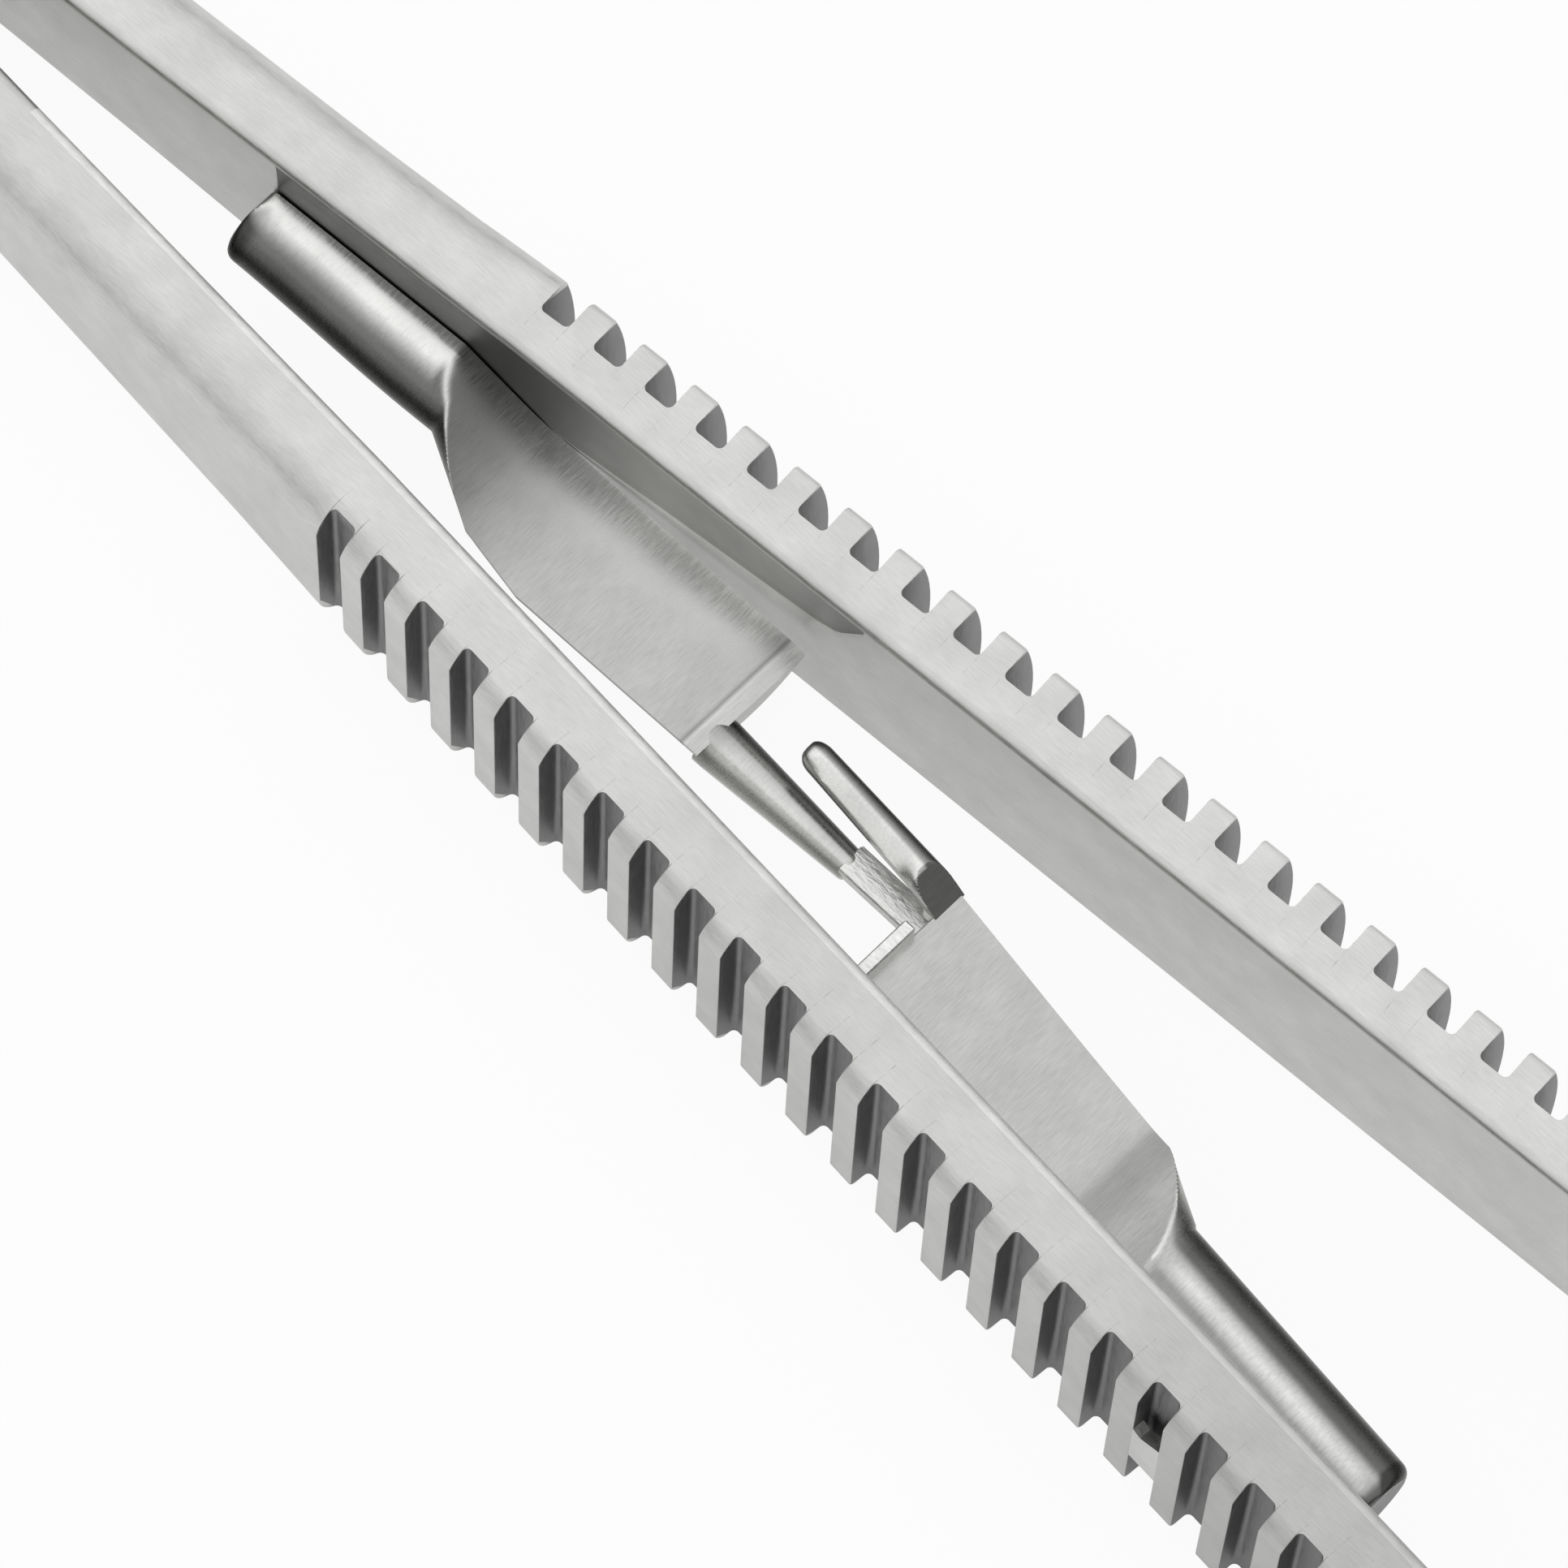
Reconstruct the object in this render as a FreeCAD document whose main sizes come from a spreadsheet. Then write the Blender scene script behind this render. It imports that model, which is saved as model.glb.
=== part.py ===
import FreeCAD, Part
import Sketcher
import math
import os

# Spring-handled needle holder with a thumb catch, lying flat on its two handles.
# X runs from the jaws to the tail, Y across the handles, Z up, in millimetres.
# Every sketch is drawn with the pivot axis at X0 Y0 and the mid-plane of the handles at Z0.
# The whole is then lifted by half the handle height and moved so that X0 Y0 is under its middle.

DRIVING_SIZES = [
    ("total_length", 140.0, "jaw tip to tail end"),
    ("jaw_length", 12.5, "pivot axis to jaw tip"),
    ("jaw_gap", 0.04, "play between the closed jaws"),
    ("jaw_root_width", 2.0, "one jaw across, at its root"),
    ("jaw_tip_width", 0.9, "one jaw across, at its tip"),
    ("jaw_tip_height", 1.8, "jaw height at the tip"),
    ("jaw_root_height", 3.6, "jaw height where it leaves the joint"),
    ("jaw_radius", 3.0, "radius of a jaw's crowned outer side"),
    ("joint_radius", 3.4, "round boss of the half-lap joint"),
    ("joint_height", 4.6, "height of both laps together"),
    ("joint_play", 0.04, "running clearance in the joint"),
    ("half_angle", 3.82, "angle of each handle to the middle line, locked"),
    ("arm_cross", 1.22, "pivot axis to where the inner faces would meet"),
    ("arm_thick", 2.24, "handle thickness"),
    ("tail_run", 48.5, "tail end to where the handles start to thin"),
    ("arm_taper", 7.0, "length over which the handle thins to its leaf"),
    ("arm_joint_height", 4.4, "handle height at the joint"),
    ("arm_front_height", 5.1, "handle height ahead of the grooves"),
    ("handle_height", 6.3, "handle height in the grooved zone"),
    ("front_end", 20.0, "pivot axis to where the handle starts to grow higher"),
    ("handle_start", 33.0, "pivot axis to where the full height begins"),
    ("side_radius", 12.0, "radius of the far handle's crowned outer side, seen along the handle"),
    ("side_swell", 0.29, "how much further out that crowned side reaches"),
    ("edge_run", 0.5, "slope along the near handle's upper outer edge, across"),
    ("edge_drop", 0.6, "how far that slope drops"),
    ("edge_round", 0.12, "chamfer of the other outer long edges"),
    ("edge_break", 0.3, "soft chamfer of the inner long edges"),
    ("groove_first", 33.45, "pivot axis to the first grip groove"),
    ("groove_stagger", 0.2, "how much nearer to the joint the far handle's grooves lie"),
    ("groove_pitch", 1.6, "groove to groove"),
    ("groove_width", 0.85, "groove, wall to wall"),
    ("groove_depth", 0.6, "groove depth on the near handle"),
    ("groove_extra", 0.45, "how much nearer the middle line the far handle's groove floors lie"),
    ("groove_floor", 0.2, "rounding of the groove floor's corners"),
    ("groove_end", 2.0, "least plain length between the last groove and where the handle thins"),
    ("leaf_thick", 1.0, "spring leaf thickness"),
    ("leaf_height", 5.2, "spring leaf height"),
    ("leaf_angle", 16.5, "angle at which the leaves run in to each other"),
    ("leaf_bend", 20.0, "bend radius of the leaf where it turns in"),
    ("leaf_gap", 0.04, "play between the leaves at the tail"),
    ("leaf_flatness", 50.0, "how many times flatter the outer side is where it has thinned to its leaf"),
    ("rivet_radius", 0.8, "tail rivet"),
    ("rivet_play", 0.02, "clearance round the rivets"),
    ("rivet_rear", 3.0, "tail end to the rear rivet"),
    ("rivet_pitch", 4.5, "rivet to rivet"),
    ("screw_radius", 1.0, "pivot screw shank"),
    ("screw_head_radius", 1.9, "pivot screw head"),
    ("screw_head_height", 0.9, "pivot screw head height"),
    ("screw_play", 0.03, "clearance round the screw"),
    ("slot_width", 0.5, "driver slot width"),
    ("slot_depth", 0.45, "driver slot depth"),
    ("catch_root_start", 25.2, "pivot axis to the start of the catch's root"),
    ("catch_root_end", 31.4, "pivot axis to where the scoop of the catch begins"),
    ("catch_root_height", 2.0, "height of the catch's root bar"),
    ("catch_scoop", 2.9, "length of the scoop down to the plate"),
    ("catch_plate_end", 42.5, "pivot axis to the end of the catch plate"),
    ("catch_plate_thick", 0.75, "catch plate thickness"),
    ("catch_near_edge", 1.45, "reach of the plate past the middle line"),
    ("catch_far_edge", 2.38, "far edge of the plate"),
    ("catch_pin_length", 4.5, "half-round pin of the catch"),
    ("catch_pin_radius", 0.71, "pin radius at the plate"),
    ("catch_pin_tip_radius", 0.42, "pin radius at its end"),
    ("catch_pin_offset", 0.53, "pin axis beyond the middle line"),
    ("catch_tongue_length", 2.3, "ground tongue beyond the pin"),
    ("catch_tongue_width", 0.7, "tongue width"),
    ("catch_tongue_thick", 0.4, "tongue thickness"),
    ("keeper_plate_start", 49.1, "pivot axis to the end of the keeper plate"),
    ("keeper_root_start", 59.1, "pivot axis to the root of the keeper"),
    ("keeper_root_end", 66.75, "pivot axis to the end of the keeper's root"),
    ("keeper_root_height", 2.0, "height of the keeper's root bar"),
    ("keeper_scoop", 2.4, "length of the scoop down to the plate"),
    ("keeper_plate_thick", 0.5, "keeper plate thickness"),
    ("keeper_plate_lift", 0.05, "mid-plane of the keeper plate above the arms' mid-plane"),
    ("keeper_far_edge", 0.56, "far corner of the keeper plate"),
    ("keeper_waist_edge", 0.2, "far edge of the keeper plate where it begins to narrow"),
    ("keeper_shoulder_edge", 0.62, "far edge of the keeper plate at its shoulder"),
    ("keeper_shoulder", 1.0, "how far the shoulder lies ahead of the root's rounding"),
    ("keeper_edge_gap", 0.22, "slit between the keeper plate and its arm"),
    ("keeper_prong_length", 4.65, "prong from the plate's end to its tip"),
    ("keeper_prong_width", 0.76, "prong width at its tip"),
    ("keeper_head_width", 0.95, "prong width at its head"),
    ("keeper_prong_height", 0.9, "prong height"),
    ("keeper_lip_width", 0.35, "ground lip along the plate's end"),
    ("keeper_lip_height", 0.45, "height of the lip above the plate"),
    ("root_round", 0.7, "rounding of the catch's and keeper's root bars"),
    ("weld_break", 0.08, "small chamfer where a root bar meets its handle"),
    ("prong_round", 0.3, "rounding of the prong"),
    ("leaf_lead", 4.6, "straight run of the leaf behind the handle, up to its bend's corner"),
    ("catch_root_width", 1.7, "root bar of the catch, across its front end"),
    ("catch_root_swell", 0.2, "how much wider that bar is at its rear end"),
    ("catch_flare", 5.2, "length over which the catch flares from its root's end to its full width"),
    ("catch_scoop_radius", 4.7, "radius of the scoop"),
    ("catch_edge_run", 0.15, "how much the near edge of the plate runs in"),
    ("catch_edge_thick", 0.15, "thickness left at the long edges of the plate"),
    ("catch_bevel_run", 0.35, "bevel on top of the plate's end, along the plate"),
    ("catch_bevel_drop", 0.12, "how far that bevel drops"),
    ("keeper_root_width", 2.05, "root bar of the keeper, across its rear end"),
    ("keeper_root_swell", 0.35, "how much wider that bar is at its front end"),
    ("keeper_prong_foot", 0.05, "underside of the prong above the mid-plane"),
    ("keeper_prong_lean", 0.33, "how much further out the prong's tip lies than its head"),
    ("keeper_head_length", 0.45, "raised head over the plate"),
    ("keeper_ramp", 1.05, "ramp from the plate up to the back of the prong"),
    ("keeper_notch_edge", -1.0, "near side of the notch at the plate's end"),
]

doc = FreeCAD.newDocument("needle_holder")
sheet = doc.addObject("Spreadsheet::Sheet", "Sizes")
for row, (alias, value, meaning) in enumerate(DRIVING_SIZES, start=1):
    sheet.set(f"A{row}", meaning)
    sheet.set(f"B{row}", str(value))
    sheet.setAlias(f"B{row}", alias)
doc.recompute()
ALIASES = sorted((alias for alias, value, meaning in DRIVING_SIZES), key=len, reverse=True)
NEAR = -1
FAR = 1


def bound(formula):
    """Write a formula in plain size names as an expression that reads the sheet."""
    words = []
    word = ""
    for letter in formula + " ":
        if letter.isalnum() or letter == "_":
            word += letter
            continue
        words.append("Sizes." + word if word in ALIASES else word)
        words.append(letter)
        word = ""
    return "".join(words).strip()


def number(formula):
    """The value of a formula now."""
    return float(sheet.evalExpression(bound(formula)))


def new_body(name):
    """A body whose place lifts and centres the drawing frame."""
    body = doc.addObject("PartDesign::Body", name)
    body.Label = name
    body.setExpression("Placement.Base.x", bound("jaw_length - total_length / 2"))
    body.setExpression("Placement.Base.z", bound("handle_height / 2"))
    return body


def origin_plane(body, role):
    return next(item for item in body.Origin.OriginFeatures if item.Role == role)


def new_sketch(body, name, role="XY_Plane", turned=0, lift=None):
    """A sketch on one of the body's own planes, turned along an arm, or lifted off the plane."""
    sketch = body.newObject("Sketcher::SketchObject", name)
    sketch.AttachmentSupport = [(origin_plane(body, role), "")]
    sketch.MapMode = "FlatFace"
    if turned:
        turn = FreeCAD.Rotation(FreeCAD.Vector(0, 0, turned), number("half_angle"))
        sketch.AttachmentOffset = FreeCAD.Placement(FreeCAD.Vector(), turn)
        sketch.setExpression("AttachmentOffset.Rotation.Angle", bound("half_angle"))
    if lift:
        sketch.setExpression("AttachmentOffset.Base.z", bound(lift))
    return sketch


def pin_point(sketch, geometry, end, across, along):
    """Hold one end of a line at two formulas measured from the sketch's origin."""
    for kind, formula in (("DistanceX", across), ("DistanceY", along)):
        index = sketch.addConstraint(Sketcher.Constraint(kind, -1, 1, geometry, end, number(formula)))
        sketch.setExpression(f"Constraints[{index}]", bound(formula))


def outline(sketch, points):
    """Close an outline through points that are pairs of formulas.

    A point with a third formula starts an arc of that radius, which curves to the left of the way
    to the next point when the fourth item is 1 and to the right when it is -1.
    """
    corners = [FreeCAD.Vector(number(point[0]), number(point[1]), 0) for point in points]
    first = sketch.GeometryCount
    count = len(points)
    for step, point in enumerate(points):
        here, there = corners[step], corners[(step + 1) % count]
        if len(point) == 2:
            sketch.addGeometry(Part.LineSegment(here, there))
        else:
            sketch.addGeometry(arc_between(here, there, number(point[2]), point[3]))
    for step, point in enumerate(points):
        start, end = ends_of(points[step])
        follower = (step + 1) % count
        sketch.addConstraint(Sketcher.Constraint("Coincident", first + step, end, first + follower,
                                                 ends_of(points[follower])[0]))
        pin_point(sketch, first + step, start, point[0], point[1])
        if len(point) > 2:
            held = sketch.addConstraint(Sketcher.Constraint("Radius", first + step, number(point[2])))
            sketch.setExpression(f"Constraints[{held}]", bound(point[2]))


def ends_of(point):
    """Start and end numbers of a side: an arc that curves to the right is stored end first."""
    return (2, 1) if len(point) > 2 and point[3] > 0 else (1, 2)


def arc_between(here, there, radius, bulge):
    """The short arc from here to there, bulging left (1) or right (-1) of the way."""
    chord = there - here
    middle = (here + there) * 0.5
    left = FreeCAD.Vector(-chord.y, chord.x, 0).normalize()
    half = chord.Length / 2
    depth = math.sqrt(radius ** 2 - half ** 2)
    centre = middle - left * bulge * depth
    top = centre + left * bulge * radius
    return Part.Arc(here, top, there)


def ring(sketch, radius, across="0", along="0"):
    """A circle whose radius and centre are formulas."""
    centre = FreeCAD.Vector(number(across), number(along), 0)
    index = sketch.addGeometry(Part.Circle(centre, FreeCAD.Vector(0, 0, 1), number(radius)))
    held = sketch.addConstraint(Sketcher.Constraint("Radius", index, number(radius)))
    sketch.setExpression(f"Constraints[{held}]", bound(radius))
    pin_point(sketch, index, 3, across, along)


def pad(body, sketch, thickness, name, symmetric=True):
    """Pad a sketch by a formula, on both sides of its plane unless told otherwise."""
    feature = body.newObject("PartDesign::Pad", name)
    feature.Profile = sketch
    if symmetric:
        feature.SideType = "Symmetric"
    feature.setExpression("Length", bound(thickness))
    return feature


def pocket_through(body, sketch, name):
    """Cut a sketch's outline away on both sides of its plane, right through."""
    feature = body.newObject("PartDesign::Pocket", name)
    feature.Profile = sketch
    feature.SideType = "Symmetric"
    feature.Type = "ThroughAll"
    return feature


def pocket_side(body, sketch, depth, name, side):
    """Cut a sketch's outline away on one side of its plane, +1 above and -1 below."""
    feature = body.newObject("PartDesign::Pocket", name)
    feature.Profile = sketch
    feature.Reversed = side > 0
    feature.setExpression("Length", bound(depth))
    return feature


def edges_where(feature, wanted):
    """Names of the feature's edges that a test accepts."""
    return [f"Edge{place}" for place, edge in enumerate(feature.Shape.Edges, start=1) if wanted(edge)]


def fillet(body, base, edges, radius, name):
    """Round edges of a feature by a formula."""
    feature = body.newObject("PartDesign::Fillet", name)
    feature.Base = (base, edges)
    feature.setExpression("Radius", bound(radius))
    return feature


def signed(side, formula):
    """A formula measured outwards from the middle line, as a Y of the near or far side."""
    return formula if side > 0 else f"-1 * ({formula})"


def cosd(angle):
    return f"cos(({angle}) * 1deg)"


def sind(angle):
    return f"sin(({angle}) * 1deg)"


def tand(angle):
    return f"tan(({angle}) * 1deg)"


def inner_face(across):
    """Distance of a handle's inner face from the middle line."""
    return f"(({across}) - arm_cross) * {tand('half_angle')}"


INNER = "-1 * arm_cross * sin(half_angle * 1deg)"
OUTER = f"arm_thick + {INNER}"
ARM_END = "(total_length - jaw_length - tail_run)"


def section_sketch(body, name, side, reach):
    """A sketch square across a handle at a distance from the pivot, or across X where side is 0."""
    sketch = new_sketch(body, name, role="YZ_Plane")
    if side:
        turn = FreeCAD.Rotation(FreeCAD.Vector(0, side, 0), number("half_angle"))
        sketch.AttachmentOffset = FreeCAD.Placement(FreeCAD.Vector(), turn)
        sketch.setExpression("AttachmentOffset.Rotation.Angle", bound("half_angle"))
        sketch.setExpression("AttachmentOffset.Base.x", bound(f"{side} * ({reach}) * {sind('half_angle')}"))
        sketch.setExpression("AttachmentOffset.Base.z", bound(f"({reach}) * {cosd('half_angle')}"))
    else:
        sketch.setExpression("AttachmentOffset.Base.z", bound(reach))
    return sketch


def crown(height, radius):
    """How far the ends of an outer side stand back from its middle when it is part of a circle."""
    return f"({radius} - sqrt(({radius}) ^ 2 - (({height}) / 2 - edge_round) ^ 2))"


def crowned_section(sketch, side, inner, outer, height, radius):
    """A cross-section flat on its inner side, with soft corners, and crowned on its outer side."""
    up, down = f"({height}) / 2", f"-1 * ({height}) / 2"
    shoulder = f"{outer} - {crown(height, radius)}"
    outline(sketch, [
        (signed(side, f"{inner} + edge_break"), down),
        (signed(side, f"{shoulder} - edge_round"), down),
        (signed(side, shoulder), f"{down} + edge_round", radius, -side),
        (signed(side, shoulder), f"{up} - edge_round"),
        (signed(side, f"{shoulder} - edge_round"), up),
        (signed(side, f"{inner} + edge_break"), up),
        (signed(side, inner), f"{up} - edge_break"),
        (signed(side, inner), f"{down} + edge_break"),
    ])


def flat_section(sketch, side, inner, outer, height, run, drop):
    """A cross-section flat on both sides, with a slope along its upper outer edge."""
    up, down = f"({height}) / 2", f"-1 * ({height}) / 2"
    outline(sketch, [
        (signed(side, f"{inner} + edge_break"), down),
        (signed(side, f"{outer} - edge_round"), down),
        (signed(side, outer), f"{down} + edge_round"),
        (signed(side, outer), f"{up} - {drop}"),
        (signed(side, f"{outer} - {run}"), up),
        (signed(side, f"{inner} + edge_break"), up),
        (signed(side, inner), f"{up} - edge_break"),
        (signed(side, inner), f"{down} + edge_break"),
    ])


def bar_section(sketch, side, inner, outer, height, corner, soft, lift="0"):
    """A bar's cross-section: rounded outer corners and softly chamfered inner ones."""
    up, down = f"{lift} + ({height}) / 2", f"{lift} - ({height}) / 2"
    outline(sketch, [
        (signed(side, f"{inner} + {soft}"), down),
        (signed(side, f"{outer} - {corner}"), down, corner, -side),
        (signed(side, outer), f"{down} + {corner}"),
        (signed(side, outer), f"{up} - {corner}", corner, -side),
        (signed(side, f"{outer} - {corner}"), up),
        (signed(side, f"{inner} + {soft}"), up),
        (signed(side, inner), f"{up} - {soft}"),
        (signed(side, inner), f"{down} + {soft}"),
    ])


def ruled_bar(body, name, stations, turned, side, section, **form):
    """Carry cross-sections through stations of (distance, inner side, outer side, height and more)."""
    sections = []
    for place, (reach, *across) in enumerate(stations, start=1):
        sketch = section_sketch(body, f"{name}_section_{place}", turned, reach)
        section(sketch, side, *across, **form)
        sections.append(sketch)
    loft = body.newObject("PartDesign::AdditiveLoft", name)
    loft.Profile = sections[0]
    loft.Sections = sections[1:]
    loft.Ruled = True
    return loft


def jaw(body, side):
    """One plain tapered jaw, on the other side of the middle line from its handle."""
    inner = "jaw_gap / 2"
    stations = [
        ("-0.3 * joint_radius", inner, f"{inner} + jaw_root_width", "jaw_root_height"),
        ("-1 * joint_radius", inner, f"{inner} + jaw_root_width", "jaw_root_height"),
        ("-1 * jaw_length", inner, f"{inner} + jaw_tip_width", "jaw_tip_height"),
    ]
    return ruled_bar(body, body.Label + "_jaw", stations, 0, -side, crowned_section, radius="jaw_radius")


def arm_blank(body, side):
    """Round boss, straight handle at the half angle and its thinning rear end."""
    boss = new_sketch(body, body.Label + "_boss_plan")
    ring(boss, "joint_radius")
    pad(body, boss, "joint_height", body.Label + "_boss")
    if side == FAR:
        section, outer = crowned_section, f"{OUTER} + side_swell"
        form, thinned = ["side_radius"], ["leaf_flatness * side_radius"]
    else:
        section, outer = flat_section, OUTER
        form, thinned = ["edge_run", "edge_drop"], ["edge_round", "edge_round"]
    stations = [
        ("0.3 * joint_radius", INNER, outer, "arm_joint_height", *form),
        ("front_end", INNER, outer, "arm_front_height", *form),
        ("handle_start", INNER, outer, "handle_height", *form),
        (ARM_END, INNER, outer, "handle_height", *form),
        (f"{ARM_END} + arm_taper", f"{OUTER} - leaf_thick", OUTER, "leaf_height", *thinned),
    ]
    return ruled_bar(body, body.Label + "_handle", stations, side, side, section)


def grooves(body, side):
    """Grip grooves across the outer side, one cut and repeated along the handle."""
    plan = new_sketch(body, body.Label + "_groove_plan", turned=side)
    first = "groove_first" if side == NEAR else "(groove_first - groove_stagger)"
    mouth = "groove_width / 2"
    floor = f"({OUTER} - groove_depth)" if side == NEAR else f"({OUTER} - groove_depth - groove_extra)"
    beyond = signed(side, f"{OUTER} + 2 * arm_thick")
    outline(plan, [
        (f"{first} - {mouth}", beyond),
        (f"{first} - {mouth}", signed(side, f"{floor} + groove_floor"), "groove_floor", side),
        (f"{first} - {mouth} + groove_floor", signed(side, floor)),
        (f"{first} + {mouth} - groove_floor", signed(side, floor), "groove_floor", side),
        (f"{first} + {mouth}", signed(side, f"{floor} + groove_floor")),
        (f"{first} + {mouth}", beyond),
    ])
    cut = pocket_through(body, plan, body.Label + "_groove")
    pattern = body.newObject("PartDesign::LinearPattern", body.Label + "_grooves")
    pattern.Originals = [cut]
    pattern.Direction = (plan, ["H_Axis"])
    pattern.Mode = "Spacing"
    pattern.setExpression("Offset", bound("groove_pitch"))
    steps = f"floor(({ARM_END} - groove_end - {first}) / groove_pitch)"
    pattern.setExpression("Occurrences", bound(f"{steps} + 1"))
    body.Tip = pattern
    return pattern


def lap(body, side):
    """Take away the half of the joint that the other forging fills, and bore it for the screw."""
    plan = new_sketch(body, body.Label + "_lap_plan", lift=f"{side} * joint_play / 2")
    ring(plan, "joint_radius + joint_play")
    pocket_side(body, plan, "handle_height", body.Label + "_lap", side=-side)
    bore = new_sketch(body, body.Label + "_bore_plan")
    ring(bore, "screw_radius + screw_play")
    return pocket_through(body, bore, body.Label + "_bore")


def rivet_places():
    """X of the two tail rivets."""
    rear = "total_length - jaw_length - rivet_rear"
    return {"tail_rivet_front": f"{rear} - rivet_pitch", "tail_rivet_rear": rear}


def rivet_bores(body):
    """The two rivet holes across a leaf."""
    plan = new_sketch(body, body.Label + "_rivet_plan", role="XZ_Plane")
    for across in rivet_places().values():
        ring(plan, "rivet_radius + rivet_play", across)
    return pocket_through(body, plan, body.Label + "_rivet_bores")


def leaf(body, side, sunk="0"):
    """A spring leaf: on from the handle, bent in to the middle line, then straight to the tail."""
    reach = f"({ARM_END} + arm_taper - {sunk})"
    start_x = f"({reach} * {cosd('half_angle')} - ({OUTER} - leaf_thick / 2) * {sind('half_angle')})"
    start_y = f"({reach} * {sind('half_angle')} + ({OUTER} - leaf_thick / 2) * {cosd('half_angle')})"
    turn_x = f"({start_x} + (leaf_lead + {sunk}) * {cosd('half_angle')})"
    turn_y = f"({start_y} + (leaf_lead + {sunk}) * {sind('half_angle')})"
    rest = "(leaf_thick / 2 + leaf_gap / 2)"
    flat_x = f"({turn_x} + ({turn_y} - {rest}) / {tand('leaf_angle')})"
    stations = [
        (start_x, start_y, "half_angle", "0"),
        (turn_x, turn_y, "(half_angle - leaf_angle) / 2", "(half_angle + leaf_angle) / 2"),
        (flat_x, rest, "-1 * leaf_angle / 2", "leaf_angle / 2"),
        ("(total_length - jaw_length)", rest, "0", "0"),
    ]

    def shifted(station, sign):
        across, up, slope, mitre = station
        reach = f"{sign} * leaf_thick / 2 / {cosd(mitre)}"
        return f"{across} - {reach} * {sind(slope)}", signed(side, f"{up} + {reach} * {cosd(slope)}")

    points = [shifted(station, 1) for station in stations]
    points += [shifted(station, -1) for station in reversed(stations)]
    plan = new_sketch(body, body.Label + "_leaf_plan")
    outline(plan, points)
    blank = pad(body, plan, "leaf_height", body.Label + "_leaf")
    doc.recompute()
    bends = [(number(station[0]), side * number(station[1])) for station in stations[1:3]]

    def corner(edge, place, outside):
        if len(edge.Vertexes) < 2 or abs(edge.Vertexes[0].X - edge.Vertexes[1].X) > 0.001:
            return False
        point = edge.Vertexes[0].Point
        close = math.hypot(point.x - place[0], point.y - place[1]) < number("leaf_thick")
        upright = abs(edge.Vertexes[0].Z - edge.Vertexes[1].Z) > 1
        return close and upright and (abs(point.y) > abs(place[1])) == outside

    wide = edges_where(blank, lambda edge: corner(edge, bends[0], True) or corner(edge, bends[1], False))
    bent = fillet(body, blank, wide, "leaf_bend + leaf_thick / 2", body.Label + "_outer_bends")
    doc.recompute()
    tight = edges_where(bent, lambda edge: corner(edge, bends[0], False) or corner(edge, bends[1], True))
    return fillet(body, bent, tight, "leaf_bend - leaf_thick / 2", body.Label + "_inner_bends")


def build_arm(name, side, with_leaf):
    """One forging: jaw, half of the joint, grooved handle, and its leaf where that stays with it."""
    body = new_body(name)
    arm_blank(body, side)
    jaw(body, side)
    if with_leaf:
        leaf(body, side, sunk="leaf_thick / 2")
        rivet_bores(body)
    lap(body, side)
    if side == FAR:
        seat = new_sketch(body, name + "_screw_seat", lift="joint_height / 2 - screw_head_height")
        ring(seat, "screw_head_radius + screw_play")
        pocket_side(body, seat, "handle_height", name + "_counterbore", side=1)
    grooves(body, side)
    return body


def build_leaf():
    """The far forging's spring leaf, which bends when the handles open."""
    body = new_body("far_tail_leaf")
    leaf(body, FAR, sunk="-1 * leaf_gap / 2")
    rivet_bores(body)
    return body


def build_screw():
    """Slotted cheese-head screw of the joint, its head flush with the upper lap."""
    body = new_body("pivot_screw")
    profile = new_sketch(body, "screw_profile", role="XZ_Plane")
    top = "joint_height / 2"
    outline(profile, [
        ("0", "-1 * joint_height / 2"),
        ("screw_radius", "-1 * joint_height / 2"),
        ("screw_radius", f"{top} - screw_head_height + joint_play"),
        ("screw_head_radius", f"{top} - screw_head_height + joint_play"),
        ("screw_head_radius", top),
        ("0", top),
    ])
    turned = body.newObject("PartDesign::Revolution", "screw_turned")
    turned.Profile = profile
    turned.ReferenceAxis = (profile, ["V_Axis"])
    turned.Angle = 360
    slot = new_sketch(body, "screw_slot_plan", lift=f"{top} - slot_depth")
    outline(slot, [
        ("-2 * screw_head_radius", "-1 * slot_width / 2"),
        ("2 * screw_head_radius", "-1 * slot_width / 2"),
        ("2 * screw_head_radius", "slot_width / 2"),
        ("-2 * screw_head_radius", "slot_width / 2"),
    ])
    pocket_side(body, slot, "screw_head_height", "screw_slot", side=1)
    return body


def build_rivet(name, across):
    """A flush rivet across both leaves."""
    body = new_body(name)
    plan = new_sketch(body, name + "_plan", role="XZ_Plane")
    ring(plan, "rivet_radius", across)
    pad(body, plan, "2 * leaf_thick + leaf_gap", name + "_shank")
    return body


def welded_root(body, side, ends, height):
    """A bar along the inner face of a handle, rounded on its free side, from (place, width) ends."""
    stations = [(across, f"-1 * ({inner_face(across)})", f"{width} - ({inner_face(across)})", height)
                for across, width in ends]
    return ruled_bar(body, body.Label + "_root", stations, 0, -side, bar_section,
                     corner="root_round", soft="weld_break")


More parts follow.
